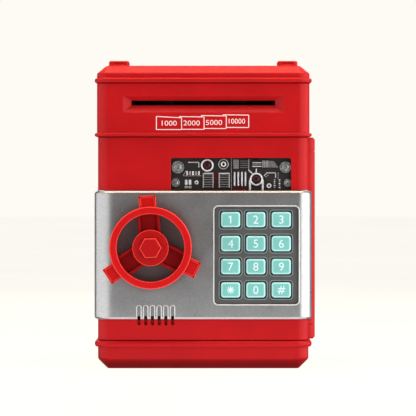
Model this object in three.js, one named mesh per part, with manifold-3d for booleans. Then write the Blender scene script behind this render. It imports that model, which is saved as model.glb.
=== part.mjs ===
// Toy cash-machine savings bank: an upright coin and note bank with a motor-fed note slot,
// a hinged door with a handwheel latch, and a twelve-key keypad.
// Units are millimetres, +Z is up, the door faces -Y, and the origin is the centre of the underside.
import * as THREE from "three";
import { mergeVertices } from "three/addons/utils/BufferGeometryUtils.js";
import Module from "manifold-3d";

const wasm = await Module();
wasm.setup();

// ---------------------------------------------------------------- driving dimensions

const GAP = 0.3; // between neighbouring pieces
const WALL = 2.5; // moulded wall
const CORNER = 7; // upright outer corners

const CASING = { halfWidth: 63, halfDepth: 51, bottom: 17.2, top: 138.3, front: -43 };
const BAND = { halfWidth: 65, halfDepth: 53, edge: 0.9 };
const BASE = { top: 16.9, bandBottom: 13, chamferInset: 6, chamferHeight: 5.9, floor: 2.5 };
const HOUSING = { halfWidth: 63.6, halfDepth: 51.6, bottom: 138.6, bandTop: 140.9, top: 170.5 };
const COVER = { bottom: 170.8, bandTop: 173.7, roof: 181.2, chamferInset: 5.9, chamferHeight: 4.7 };
const PAD = { size: 12.2, height: 2.9, x: 50.4, y: 38.6, edge: 0.8 };

const SLOT = { halfWidth: 42.9, low: 157.3, high: 160.2 };
const FUNNEL = { halfWidth: 47.5, low: 153.2, high: 162.7, depth: 4 };
const SLOT_BLOCK = { halfWidth: 50, low: 150.5, high: 165.5, back: -45.5 };

const HINGE = { x: 62.6, y: -38, radius: 4.5, bore: 1.6, pin: 1.3, low: 26, high: 130.2, clear: 5.3 };
const DOOR = { front: -51, back: -43.3, skin: -48.5 };
const FASCIA = {
  front: -54,
  back: -51.3,
  halfWidth: 65,
  inside: 63.3,
  side: -44.5,
  low: 29.8,
  high: 106.6,
};
const WINDOW = { left: -19.3, right: 52.4, low: 104.2, high: 125.9, corner: 1.5 };
const SPEAKER = { x: -28.25, z: 40.8, radius: 14, magnet: 6.5 };
const SPEAKER_SLOTS = { count: 6, pitch: 4, width: 2, low: 26.2, high: 37.9 };

const KEYPAD = { left: 5.8, right: 57.6, low: 38, high: 97.7, corner: 3, rim: 0.8, rimProud: 0.5 };
const KEYS = {
  x: [16.3, 31.3, 46.5],
  z: [89.2, 74.9, 61.2, 47.3],
  names: ["1", "2", "3", "4", "5", "6", "7", "8", "9", "star", "0", "hash"],
  width: 11.5,
  height: 9.2,
  corner: 1.2,
  front: -54.2,
  flangeFront: -51,
  flangeBack: -50,
  stemBack: -48.1,
};

// Depths on the wheel and its cap are measured forwards (-Y) from the front of the fascia.
const WHEEL = {
  x: -31.1,
  z: 72.6,
  tilt: THREE.MathUtils.degToRad(4),
  front: -11.8,
  back: -5.6,
  ringOuter: 24.4,
  ringInner: 20,
  ringShoulder: 1.4,
  hub: 10.8,
  hubBack: -3.6,
  armRoot: 6,
  armHalf: 4.4,
  armFront: -8,
  armBack: -4.4,
  ribFront: -9.4,
  ribWidth: 1.4,
  lugEnd: 31.4,
  lugHalf: 5.15,
  lugFront: -9.8,
};
const WHEEL_CAP = { across: 11.8, front: -14.7, back: -12.1, slope: 0.4, peg: 2.5, pegBack: -10.8 };
const SHAFT = { radius: 3, front: -9.2, journal: 1.5, hole: 3.4 };

const PRESSURE_ANGLE = THREE.MathUtils.degToRad(30);
const ADDENDUM = 0.8; // of a tooth, in modules
const DEDENDUM = 1.1;
const LATCH = {
  module: 0.8,
  teeth: 8,
  rackTeeth: 7,
  backlash: 0.22,
  front: -40.8,
  back: -37.4,
  tip: -53.5,
  end: -20,
  top: 82,
};
const LATCH_PITCH_RADIUS = (LATCH.module * LATCH.teeth) / 2;
const LATCH_TRAVEL = (LATCH_PITCH_RADIUS * Math.PI) / 2;
const LATCH_ROOT = WHEEL.z + LATCH_PITCH_RADIUS + DEDENDUM * LATCH.module;
const LATCH_CLEARANCE = 0.4; // round the bolt
const KEEPER = { thickness: 1.2, low: 66, high: 92, back: -28, lipEnd: -55.2, lipLow: 72, lipHigh: 86 };
const PLUNGER = { x: -44, radius: 1.5, low: 82.8, high: 105.5, notch: 3.6, notchFloor: 79.5 };
const SOLENOID = {
  halfWidth: 6,
  front: 5,
  back: 3.6,
  wall: 1.4,
  plate: 2,
  low: 88,
  high: 110,
  coil: 4.2,
  bore: 1.9,
};
const INNER_COVER = { left: -54, right: 56.5, low: 24, high: 131, front: -48.2, back: -33.4, wall: 1.8 };

const FEED = { y: -30, z: 153.5, pathZ: 158.65, module: 0.7, backlash: 0.2 };
const FEED_GEAR_TEETH = 28;
const FEED_PINION_TEETH = 10;
const BRACKET = { inside: 45.8, outside: 47.2, foot: 6, footFront: -2, back: 14 };
const MOTOR = { radius: 7.5, flat: 6.2, length: 18, z: 148.5, shaft: 1 };
const DRIVE = { shaft: 1.5, hole: 1.8, roller: 5, rollerX: 22, rollerHalf: 5 };
const IDLER = { shaft: 1.2, hole: 1.5, roller: 4, rollerHalf: 4 };

const SHELF = { bottom: 138.6, top: 140.6, halfWidth: 60.8, halfDepth: 48.8 };
const COIN = { y: 24, length: 30, width: 3.6, chuteHalfWidth: 18, chuteHalfDepth: 4, chuteWall: 1.4 };
const CELL = { radius: 7.1, length: 48.5, pitch: 15.2, firstZ: 34.2, y: 40.3 };
const SHELF_DROP = { halfWidth: 46, front: -5, back: 16 };
const BOARD = { left: -52, right: -10, front: 43, back: 44.6, top: 168 };
const BATTERY_BOX = { halfWidth: 28, low: 24.8, high: 82.2, front: 31.6, wall: 1.5, bossLow: 73.2 };
const HATCH = { halfWidth: 27, low: 26, high: 80.4, inside: 48.9, outside: 50.8, screwZ: 76.6 };

const BASE_SCREW = { headRadius: 3.2, headHeight: 1.8, shankRadius: 1.3, length: 20.5 };
const BASE_SCREW_AT = { x: 49, y: 24, z: 2.7 };
const DOOR_SCREW = { headRadius: 2.7, headHeight: 1.4, shankRadius: 1.1, length: 11 };
const HATCH_SCREW = { headRadius: 2.6, headHeight: 1.3, shankRadius: 1.1, length: 8 };

// ---------------------------------------------------------------- materials

function plastic(color, roughness) {
  return new THREE.MeshStandardMaterial({ color, roughness, metalness: 0 });
}

function metal(color, roughness) {
  return new THREE.MeshStandardMaterial({ color, roughness, metalness: 1 });
}

const RED = { color: 0xbe1f24, roughness: 0.38 };
const SILVER = { color: 0x9a9896, roughness: 0.36 };
const redPlastic = () => plastic(RED.color, RED.roughness);
const silverPaint = () => new THREE.MeshStandardMaterial({ ...SILVER, metalness: 0.6 });
const darkPlastic = () => plastic(0x3a3a3b, 0.5);
const blackPlastic = () => plastic(0x1c1c1d, 0.55);
const mintPlastic = () => plastic(0x8cd2ca, 0.4);
const steel = () => metal(0xb9bbbe, 0.3);
const circuitBoard = () => plastic(0x2c5a34, 0.6);
const lampPlastic = () => plastic(0x5a1418, 0.2);
const rubber = () => plastic(0x2a2a2a, 0.85);

// ---------------------------------------------------------------- solids

function solid(geometry) {
  geometry.deleteAttribute("normal");
  geometry.deleteAttribute("uv");
  const welded = mergeVertices(geometry, 1e-4);
  return new wasm.Manifold(
    new wasm.Mesh({
      numProp: 3,
      vertProperties: welded.attributes.position.array,
      triVerts: new Uint32Array(welded.index.array),
    }),
  );
}

const join = (...solids) => solids.reduce((whole, piece) => whole.add(piece));
/** Cutting tools run a millimetre or more past the faces they open. */
const cut = (body, ...tools) => tools.reduce((whole, tool) => whole.subtract(tool), body);
const common = (a, b) => a.intersect(b);

function box(x0, x1, y0, y1, z0, z1) {
  const geometry = new THREE.BoxGeometry(x1 - x0, y1 - y0, z1 - z0);
  return solid(geometry.translate((x0 + x1) / 2, (y0 + y1) / 2, (z0 + z1) / 2));
}

/** A round bar along X, Y or Z from low to high, centred on the other two coordinates in order. */
function bar(axis, radius, low, high, a = 0, b = 0, sides = 20) {
  const geometry = new THREE.CylinderGeometry(radius, radius, high - low, sides);
  const middle = (low + high) / 2;
  if (axis === "x") geometry.rotateZ(Math.PI / 2).translate(middle, a, b);
  if (axis === "y") geometry.translate(a, middle, b);
  if (axis === "z") geometry.rotateX(Math.PI / 2).translate(a, b, middle);
  return solid(geometry);
}

/** A rectangle with rounded corners; radii run from the low-low corner anticlockwise. */
function roundedRectangle(x0, x1, y0, y1, radii) {
  const [r0, r1, r2, r3] = Array.isArray(radii) ? radii : [radii, radii, radii, radii];
  const shape = new THREE.Shape();
  const quarter = Math.PI / 2;
  const corner = (x, y, radius, start) => {
    if (radius > 0) shape.absarc(x, y, radius, start, start + quarter);
    else shape.lineTo(x, y);
  };
  shape.moveTo(x0, y0 + r0);
  corner(x0 + r0, y0 + r0, r0, 2 * quarter);
  corner(x1 - r1, y0 + r1, r1, 3 * quarter);
  corner(x1 - r2, y1 - r2, r2, 0);
  corner(x0 + r3, y1 - r3, r3, quarter);
  return shape;
}

/** An outline in plan, raised from z0 to z1, with an optional chamfer on both ends. */
function upright(shape, z0, z1, chamfer = null, curveSegments = 3) {
  const [inset, height] = chamfer ?? [0, 0];
  const geometry = new THREE.ExtrudeGeometry(shape, {
    depth: z1 - z0 - 2 * height,
    curveSegments,
    bevelEnabled: inset > 0,
    bevelSize: inset,
    bevelOffset: -inset,
    bevelThickness: height,
    bevelSegments: 1,
  });
  return solid(geometry.translate(0, 0, z0 + height));
}

/** An outline seen from the front (x right, z up), running from yFront back to yBack. */
function facing(shape, yFront, yBack, chamfer = null, curveSegments = 3) {
  const [inset, height] = chamfer ?? [0, 0];
  const geometry = new THREE.ExtrudeGeometry(shape, {
    depth: yBack - yFront - 2 * height,
    curveSegments,
    bevelEnabled: inset > 0,
    bevelSize: inset,
    bevelOffset: -inset,
    bevelThickness: height,
    bevelSegments: 1,
  });
  return solid(geometry.rotateX(Math.PI / 2).translate(0, yBack - height, 0));
}

/** A four-sided taper from a front rectangle to a back rectangle. */
function taper(front, back, yFront, yBack) {
  const geometry = new THREE.BoxGeometry(1, 1, 1);
  const position = geometry.attributes.position;
  for (let i = 0; i < position.count; i += 1) {
    const end = position.getY(i) < 0 ? front : back;
    const x = position.getX(i) < 0 ? -end.halfWidth : end.halfWidth;
    const z = position.getZ(i) < 0 ? end.low : end.high;
    position.setXYZ(i, x, position.getY(i) < 0 ? yFront : yBack, z);
  }
  return solid(geometry);
}

function block(halfWidth, halfDepth, corner, z0, z1, chamfer = null) {
  const outline = roundedRectangle(-halfWidth, halfWidth, -halfDepth, halfDepth, corner);
  return upright(outline, z0, z1, chamfer);
}

function band(z0, z1) {
  const corner = CORNER + BAND.halfWidth - CASING.halfWidth;
  return block(BAND.halfWidth, BAND.halfDepth, corner, z0, z1, [BAND.edge, BAND.edge]);
}

// ---------------------------------------------------------------- gear outlines

const involute = (angle) => Math.tan(angle) - angle;

/** A gear outline with involute flanks, centred on the origin, with a tooth on the +X axis. */
function gearShape(teeth, module, backlash) {
  const pitchRadius = (module * teeth) / 2;
  const baseRadius = pitchRadius * Math.cos(PRESSURE_ANGLE);
  const tipRadius = pitchRadius + ADDENDUM * module;
  const rootRadius = pitchRadius - DEDENDUM * module;
  const pitchHalf = ((Math.PI * module) / 2 - backlash) / 2 / pitchRadius;
  const halfAngle = (radius) => {
    const pressure = Math.acos(Math.min(1, baseRadius / radius));
    return pitchHalf + involute(PRESSURE_ANGLE) - involute(pressure);
  };
  const flank = [rootRadius, pitchRadius, tipRadius];
  const points = [];
  for (let tooth = 0; tooth < teeth; tooth += 1) {
    const centre = (2 * Math.PI * tooth) / teeth;
    const rising = flank.map((radius) => [radius, centre - halfAngle(Math.max(radius, baseRadius))]);
    const falling = flank.map((radius) => [radius, centre + halfAngle(Math.max(radius, baseRadius))]);
    for (const [radius, angle] of [...rising, ...falling.reverse()]) {
      const x = radius * Math.cos(angle);
      const y = radius * Math.sin(angle);
      points.push(new THREE.Vector2(x, y));
    }
  }
  return new THREE.Shape(points);
}

// ---------------------------------------------------------------- scene helpers

const bank = new THREE.Group();

/** Adds a named mesh; a solid becomes a flat-shaded geometry. */
function piece(parent, name, body, material) {
  const { vertProperties, triVerts } = body.getMesh();
  const geometry = new THREE.BufferGeometry();
  geometry.setAttribute("position", new THREE.BufferAttribute(new Float32Array(vertProperties), 3));
  geometry.setIndex(new THREE.BufferAttribute(new Uint32Array(triVerts), 1));
  geometry.computeVertexNormals();
  const mesh = new THREE.Mesh(geometry, material);
  mesh.name = name;
  parent.add(mesh);
  return mesh;
}

/** A pan-head screw standing on the origin with its shank along -Z. */
function screw({ headRadius, headHeight, shankRadius, length }) {
  const slotDepth = headHeight / 2;
  const head = bar("z", headRadius, 0, headHeight, 0, 0, 12);
  const shank = bar("z", shankRadius, -length, 0.2, 0, 0, 8);
  const cross = (a, b) => box(-a, a, -b, b, headHeight - slotDepth, headHeight + 1);
  return cut(join(head, shank), cross(headRadius * 0.6, 0.4), cross(0.4, headRadius * 0.6));
}

// ---------------------------------------------------------------- casing

const BASE_SCREWS = [-1, 1].flatMap((sx) =>
  [-1, 1].map((sy) => [BASE_SCREW_AT.x * sx, BASE_SCREW_AT.y * sy]),
);

function baseCover() {
  const chamfer = [BASE.chamferInset, BASE.chamferHeight];
  const stock = block(CASING.halfWidth, CASING.halfDepth, CORNER, 0, BASE.top + 10, chamfer);
  const below = block(BAND.halfWidth, BAND.halfDepth, 0, -1, BASE.bandBottom + 1);
  const hollowCorner = CORNER - WALL;
  const hollowChamfer = [hollowCorner - 0.5, BASE.chamferHeight - 1.5];
  const hollowWidth = CASING.halfWidth - WALL;
  const hollowDepth = CASING.halfDepth - WALL;
  const hollow = block(hollowWidth, hollowDepth, hollowCorner, BASE.floor, BASE.top + 20, hollowChamfer);
  const shell = cut(join(common(stock, below), band(BASE.bandBottom, BASE.top)), hollow);
  const posts = BASE_SCREWS.map(([x, y]) => bar("z", 5, BASE.floor - 1, BASE.top - GAP, x, y, 12));
  const bores = BASE_SCREWS.flatMap(([x, y]) => [
    bar("z", 1.9, -1, BASE.top + 1, x, y, 10),
    bar("z", 3.7, -1, 3, x, y, 14),
  ]);
  return cut(join(shell, ...posts), ...bores);
}

function mainCasing() {
  const { halfWidth, halfDepth, bottom, top, front } = CASING;
  const outline = roundedRectangle(-halfWidth, halfWidth, front, halfDepth, [0, 0, CORNER, CORNER]);
  const inside = roundedRectangle(
    WALL - halfWidth,
    halfWidth - WALL,
    front - 10,
    halfDepth - WALL,
    [0, 0, CORNER - WALL, CORNER - WALL],
  );
  const shell = cut(upright(outline, bottom, top), upright(inside, bottom + WALL, top + 10));
  const sill = box(1 - halfWidth, halfWidth - 1, front, front + WALL, bottom, bottom + 4.8);
  const lintel = box(1 - halfWidth, halfWidth - 1, front, front + WALL, top - 5.3, top);
  const posts = BASE_SCREWS.map(([x, y]) => bar("z", 3.4, bottom + 1, bottom + 8.5, x, y, 12));
  const bores = BASE_SCREWS.map(([x, y]) => bar("z", 1.6, bottom - 1, bottom + 7.5, x, y, 10));
  const knuckles = [
    [bottom + GAP, HINGE.low],
    [HINGE.high, top],
  ].flatMap(([low, high]) => [
    bar("z", HINGE.radius, low, high, HINGE.x, HINGE.y, 24),
    box(halfWidth - WALL - 1, halfWidth, HINGE.y, HINGE.y + 8, low, high),
  ]);
  const relief = box(
    halfWidth - WALL - 3,
    halfWidth + 6,
    front - 1,
    HINGE.y + HINGE.clear,
    HINGE.low,
    HINGE.high,
  );
  const pinBore = bar("z", HINGE.bore, bottom + 2, top + 1, HINGE.x, HINGE.y);
  const hatch = box(
    -HATCH.halfWidth - GAP,
    HATCH.halfWidth + GAP,
    halfDepth - WALL - 1,
    halfDepth + 1,
    HATCH.low - GAP,
    HATCH.high + GAP,
  );
  const frame = cut(join(shell, sill, lintel, ...posts), relief);
  return cut(join(frame, ...knuckles), pinBore, hatch, ...bores);
}

function noteHousing() {
  const { halfWidth, halfDepth, bottom, bandTop, top } = HOUSING;
  const walls = join(block(halfWidth, halfDepth, CORNER, bottom + 0.5, top), band(bottom, bandTop));
  const hollow = block(halfWidth - WALL, halfDepth - WALL, CORNER - WALL, bottom - 1, top + 1);
  const slotBlock = box(
    -SLOT_BLOCK.halfWidth,
    SLOT_BLOCK.halfWidth,
    WALL - halfDepth - 0.5,
    SLOT_BLOCK.back,
    SLOT_BLOCK.low,
    SLOT_BLOCK.high,
  );
  const mouth = taper(FUNNEL, SLOT, -halfDepth - 0.01, FUNNEL.depth - halfDepth);
  const slot = box(-SLOT.halfWidth, SLOT.halfWidth, -halfDepth, SLOT_BLOCK.back + 1, SLOT.low, SLOT.high);
  return cut(join(cut(walls, hollow), slotBlock), mouth, slot);
}

function topCover() {
  const { bottom, bandTop, roof, chamferInset, chamferHeight } = COVER;
  const chamfer = [chamferInset, chamferHeight];
  const { halfWidth, halfDepth } = HOUSING;
  const stock = block(halfWidth, halfDepth, CORNER, bottom - 10, roof, chamfer);
  const above = block(BAND.halfWidth, BAND.halfDepth, 0, bandTop - 1, roof + 1);
  const hollowCorner = CORNER - WALL;
  const hollowChamfer = [hollowCorner - 0.5, chamferHeight - 1];
  const hollow = block(
    halfWidth - WALL,
    halfDepth - WALL,
    hollowCorner,
    bottom - 20,
    roof - WALL,
    hollowChamfer,
  );
  const pads = [-1, 1].flatMap((sx) =>
    [-1, 1].map((sy) => {
      const x = PAD.x * sx;
      const y = PAD.y * sy;
      const half = PAD.size / 2;
      const outline = roundedRectangle(x - half, x + half, y - half, y + half, 2);
      return upright(outline, roof - 2, roof + PAD.height, [PAD.edge, PAD.edge], 2);
    }),
  );
  const clipHalf = 12;
  const clipTop = bottom + 4;
  const tab = (sx, near, far, low) =>
    box(sx > 0 ? near : -far, sx > 0 ? far : -near, -clipHalf, clipHalf, low, clipTop);
  const clip = (sx) => join(tab(sx, 59.3, 60.8, bottom - 5), tab(sx, 59.3, 62, bottom + 0.5));
  const slot = box(
    -COIN.length / 2,
    COIN.length / 2,
    COIN.y - COIN.width / 2,
    COIN.y + COIN.width / 2,
    roof - WALL - 1,
    roof + 1,
  );
  const dish = roundedRectangle(-COIN.length / 2 - 4, COIN.length / 2 + 4, COIN.y - 5, COIN.y + 5, 3);
  const shell = cut(join(common(stock, above), band(bottom, bandTop)), hollow);
  return cut(join(shell, ...pads, clip(-1), clip(1)), slot, upright(dish, roof - 0.8, roof + 1));
}

// ---------------------------------------------------------------- note and coin feed

function cashShelf() {
  const plate = block(SHELF.halfWidth, SHELF.halfDepth, CORNER - WALL, SHELF.bottom, SHELF.top);
  const { halfWidth, front, back } = SHELF_DROP;
  const noteDrop = box(-halfWidth, halfWidth, front, back, SHELF.bottom - 1, SHELF.top + 1);
  const chuteHalf = COIN.chuteHalfWidth - COIN.chuteWall;
  const chuteDepth = COIN.chuteHalfDepth - COIN.chuteWall;
  const coinDrop = box(
    -chuteHalf,
    chuteHalf,
    COIN.y - chuteDepth,
    COIN.y + chuteDepth,
    SHELF.bottom - 1,
    SHELF.top + 1,
  );
  return cut(plate, noteDrop, coinDrop);
}

function noteGuide() {
  const half = BRACKET.inside - 0.5;
  const front = SLOT_BLOCK.back + GAP;
  const bottom = MOTOR.z + MOTOR.radius + GAP;
  const tray = box(-half, half, front, -6, bottom, bottom + 1);
  const rails = [-1, 1].map((sx) =>
    box(sx > 0 ? half - 1 : -half, sx > 0 ? half : 1 - half, front, -6, bottom, bottom + 4),
  );
  const window = DRIVE.rollerHalf + 1;
  const windows = [-1, 1].map((sx) =>
    box(
      DRIVE.rollerX * sx - window,
      DRIVE.rollerX * sx + window,
      FEED.y - window,
      FEED.y + window,
      bottom - 1,
      bottom + 2,
    ),
  );
  return cut(join(tray, ...rails), ...windows);
}

const MOTOR_Y = FEED.y + Math.sqrt(
  ((FEED.module * (FEED_GEAR_TEETH + FEED_PINION_TEETH)) / 2) ** 2 - (FEED.z - MOTOR.z) ** 2,
);
const MESH_ANGLE = THREE.MathUtils.radToDeg(Math.atan2(MOTOR_Y - FEED.y, FEED.z - MOTOR.z));
const IDLER_Z = FEED.pathZ + 0.15 + IDLER.roller;

function sideBracket(side) {
  const { inside, outside, foot, footFront, back } = BRACKET;
  const x0 = side > 0 ? inside : -outside;
  const x1 = side > 0 ? outside : -inside;
  const footLeft = side > 0 ? x0 : x0 - foot;
  const footRight = side > 0 ? x1 + foot : x1;
  const base = box(footLeft, footRight, footFront, back, SHELF.top + GAP, SHELF.top + 1.5);
  const plate = box(x0, x1, FEED.y - 10, back, SHELF.top + GAP, IDLER_Z + 4);
  const hole = (y, z, radius) => bar("x", radius, x0 - 1, x1 + 1, y, z);
  const motorHoles = side > 0 ? [hole(MOTOR_Y, MOTOR.z, 2.2)] : [];
  const rollerHoles = [hole(FEED.y, FEED.z, DRIVE.hole), hole(FEED.y, IDLER_Z, IDLER.hole)];
  return cut(join(plate, base), ...rollerHoles, ...motorHoles);
}

function feedMotor() {
  const front = BRACKET.inside - GAP;
  const back = front - MOTOR.length;
  const can = bar("x", MOTOR.radius, back, front);
  const far = MOTOR.radius + 1;
  const flats = [-1, 1].map((sy) =>
    box(back - 1, front + 1, sy > 0 ? MOTOR.flat : -far, sy > 0 ? far : -MOTOR.flat, -far, far),
  );
  const shaftHole = bar("x", MOTOR.shaft + 0.6, front - 10, front + 1);
  return cut(can, ...flats, shaftHole);
}

function motorPinion() {
  const teeth = upright(gearShape(FEED_PINION_TEETH, FEED.module, FEED.backlash), 0, 2.8);
  const gapTowardsGear = MESH_ANGLE + 180 + 180 / FEED_PINION_TEETH;
  const turned = teeth.rotate([0, 0, gapTowardsGear]).rotate([0, 90, 0]);
  const placed = turned.translate([BRACKET.outside + 0.6, 0, 0]);
  const shaft = bar("x", MOTOR.shaft, BRACKET.inside - 9, BRACKET.outside + 4, 0, 0, 12);
  return join(placed, shaft);
}

function rollerPair(radius, halfWidth, sides) {
  return [-DRIVE.rollerX, DRIVE.rollerX].map((x) =>
    bar("x", radius, x - halfWidth, x + halfWidth, 0, 0, sides),
  );
}

function driveRoller() {
  const teeth = upright(gearShape(FEED_GEAR_TEETH, FEED.module, FEED.backlash), 0, 2.4);
  const turned = teeth.rotate([0, 0, MESH_ANGLE]).rotate([0, 90, 0]);
  const gear = turned.translate([BRACKET.outside + 0.8, 0, 0]);
  const shaft = bar("x", DRIVE.shaft, -BRACKET.outside - 1.5, BRACKET.outside + 4, 0, 0, 12);
  return join(gear, shaft, ...rollerPair(DRIVE.roller, DRIVE.rollerHalf, 24));
}

function idlerRoller() {
  const shaft = bar("x", IDLER.shaft, -BRACKET.outside - 0.4, BRACKET.outside + 0.4, 0, 0, 12);
  return join(shaft, ...rollerPair(IDLER.roller, IDLER.rollerHalf, 20));
}

function coinChute() {
  const { y, chuteHalfWidth, chuteHalfDepth, chuteWall } = COIN;
  const z0 = SHELF.top + GAP;
  const z1 = COVER.roof - WALL - GAP;
  const outer = box(-chuteHalfWidth, chuteHalfWidth, y - chuteHalfDepth, y + chuteHalfDepth, z0, z1);
  const innerHalf = chuteHalfWidth - chuteWall;
  const innerDepth = chuteHalfDepth - chuteWall;
  return cut(outer, box(-innerHalf, innerHalf, y - innerDepth, y + innerDepth, z0 - 1, z1 + 1));
}

// ---------------------------------------------------------------- batteries

function batteryBox() {
  const { halfWidth, low, high, front, wall, bossLow } = BATTERY_BOX;
  const back = CASING.halfDepth - WALL - GAP;
  const outer = box(-halfWidth, halfWidth, front, back, low, high);
  const hollow = box(wall - halfWidth, halfWidth - wall, front + wall, back + 1, low + wall, high - wall);
  const screwBoss = box(-5, 5, back - 9, back, bossLow, high - wall / 2);
  const bore = bar("y", 1.5, back - 8, back + 1, 0, HATCH.screwZ);
  return cut(join(cut(outer, hollow), screwBoss), bore);
}

function batteryCell() {
  const can = bar("x", CELL.radius, -CELL.length / 2, CELL.length / 2, 0, 0, 24);
  return join(can, bar("x", 2.7, CELL.length / 2 - 0.5, CELL.length / 2 + 1.1, 0, 0, 12));
}

function batteryHatch() {
  const outline = roundedRectangle(-HATCH.halfWidth, HATCH.halfWidth, HATCH.low, HATCH.high, 1.5);
  const plate = facing(outline, HATCH.inside, HATCH.outside);
  const ribs = [-12, -6, 0, 6, 12].map((x) =>
    box(x - 1, x + 1, HATCH.outside - 0.2, HATCH.outside + 0.8, HATCH.low + 5, HATCH.low + 15),
  );
  return cut(join(plate, ...ribs), bar("y", 1.5, HATCH.inside - 1, HATCH.outside + 1, 0, HATCH.screwZ));
}

// ---------------------------------------------------------------- door

const DOOR_SCREWS = [
  [-49, 126],
  [-49, 29.2],
  [50, 30.5],
  [50, 99.75],
];
const BOSS_RADIUS = 2.4;
const BOLT_Y = (LATCH.front + LATCH.back) / 2;

function speakerSlots(yFront, yBack) {
  const { count, pitch, width, low, high } = SPEAKER_SLOTS;
  const half = width / 2;
  const first = SPEAKER.x - (pitch * (count - 1)) / 2;
  return Array.from({ length: count }, (_, i) => {
    const x = first + i * pitch;
    const outline = roundedRectangle(x - half, x + half, low, high, half - 0.01);
    return facing(outline, yFront, yBack, null, 2);
  });
}

function doorPanel() {
  const { halfWidth, bottom, top } = CASING;
  const outline = roundedRectangle(-halfWidth, halfWidth, DOOR.front, DOOR.back, [CORNER, CORNER, 0, 0]);
  const insideCorner = CORNER - WALL;
  const inside = roundedRectangle(
    WALL - halfWidth,
    halfWidth - WALL,
    DOOR.skin,
    DOOR.back + 5,
    [insideCorner, insideCorner, 0, 0],
  );
  const pan = cut(upright(outline, bottom, top), upright(inside, bottom + WALL, top - WALL));
  const barrelLow = HINGE.low + GAP;
  const barrelHigh = HINGE.high - GAP;
  const barrel = join(
    bar("z", HINGE.radius, barrelLow, barrelHigh, HINGE.x, HINGE.y, 24),
    box(halfWidth - WALL - 0.9, halfWidth, DOOR.back - 2, HINGE.y, barrelLow, barrelHigh),
  );
  const bosses = DOOR_SCREWS.map(([x, z]) =>
    bar("y", BOSS_RADIUS, DOOR.skin - 0.5, INNER_COVER.back - 2.1, x, z, 12),
  );
  const bores = DOOR_SCREWS.map(([x, z]) => bar("y", 1.4, DOOR.skin + 2, 0, x, z, 12));
  const windowHole = facing(
    roundedRectangle(WINDOW.left, WINDOW.right, WINDOW.low, WINDOW.high, WINDOW.corner),
    DOOR.front - 1,
    DOOR.skin + 1,
  );
  const keyHole = box(8, 55, DOOR.front - 1, DOOR.skin + 1, 40, 96);
  const pinBore = bar("z", HINGE.bore, barrelLow - 1, barrelHigh + 1, HINGE.x, HINGE.y);
  const shaftHole = bar("y", SHAFT.hole, DOOR.front - 1, DOOR.skin + 1, WHEEL.x, WHEEL.z);
  const slots = speakerSlots(DOOR.front - 1, DOOR.skin + 1);
  return cut(join(pan, barrel, ...bosses), ...bores, windowHole, keyHole, pinBore, shaftHole, ...slots);
}

function silverFascia() {
  const { front, back, halfWidth, inside, side, low, high } = FASCIA;
  const outline = roundedRectangle(-halfWidth, halfWidth, front, side, [CORNER, CORNER, 0, 0]);
  const hollowCorner = CORNER - (halfWidth - inside);
  const hollow = roundedRectangle(-inside, inside, back, side + 5, [hollowCorner, hollowCorner, 0, 0]);
  const shell = cut(upright(outline, low, high, null, 6), upright(hollow, low - 1, high + 1, null, 6));
  const { left, right, corner, rim, rimProud } = KEYPAD;
  const rimOutline = roundedRectangle(left, right, KEYPAD.low, KEYPAD.high, corner);
  const raised = facing(rimOutline, front - rimProud, front + 1, [0.3, 0.3]);
  const opening = facing(
    roundedRectangle(left + rim, right - rim, KEYPAD.low + rim, KEYPAD.high - rim, corner - rim),
    front - 2,
    back + 1,
  );
  const shaftHole = bar("y", SHAFT.hole, front - 1, back + 1, WHEEL.x, WHEEL.z);
  return cut(join(shell, raised), opening, shaftHole, ...speakerSlots(front - 1, back + 1));
}

function keypadBezel() {
  const edge = KEYPAD.rim + GAP;
  const outline = roundedRectangle(
    KEYPAD.left + edge,
    KEYPAD.right - edge,
    KEYPAD.low + edge,
    KEYPAD.high - edge,
    KEYPAD.corner - edge,
  );
  const halfWidth = KEYS.width / 2 + GAP;
  const halfHeight = KEYS.height / 2 + GAP;
  const holes = KEYS.z.flatMap((z) =>
    KEYS.x.map((x) =>
      facing(
        roundedRectangle(x - halfWidth, x + halfWidth, z - halfHeight, z + halfHeight, KEYS.corner),
        FASCIA.front,
        FASCIA.back + 1,
        null,
        1,
      ),
    ),
  );
  return cut(facing(outline, FASCIA.front + 1.6, FASCIA.back), ...holes);
}

function keyCap() {
  const w = KEYS.width / 2;
  const h = KEYS.height / 2;
  const depth = KEYS.flangeBack - KEYS.front;
  const flange = KEYS.flangeFront - KEYS.front;
  const cap = facing(roundedRectangle(-w, w, -h, h, KEYS.corner), 0, depth - 0.5, [0.6, 0.6], 1);
  const skirt = box(-w - 1, w + 1, flange, depth, -h - 1, h + 1);
  return join(cap, skirt, bar("y", 2, depth - 0.2, KEYS.stemBack - KEYS.front, 0, 0, 8));
}

function keypadBoard() {
  return box(7, INNER_COVER.right - INNER_COVER.wall - GAP, -46.8, -45.4, 39, 96.9);
}

const RELIEF = {
  front: -48.2,
  back: -47,
  raised: -50.2,
  left: -22,
  right: 54.4,
  low: 102.5,
  high: 128.6,
  led: 2.1,
  ledFoot: 2.9,
};
const LEDS = [
  { x: 2.4, z: 121.5, ring: 3.9 },
  { x: 31.7, z: 113.2, ring: 4 },
];

/** A raised block of the circuit picture, standing its height in front of the plate. */
function reliefBlock(x0, x1, z0, z1, height = 1.2) {
  return box(x0, x1, RELIEF.front - height, RELIEF.front + 0.2, z0, z1);
}

function reliefDisc(x, z, radius) {
  return bar("y", radius, RELIEF.front - 1.4, RELIEF.front + 0.2, x, z, 16);
}

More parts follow.
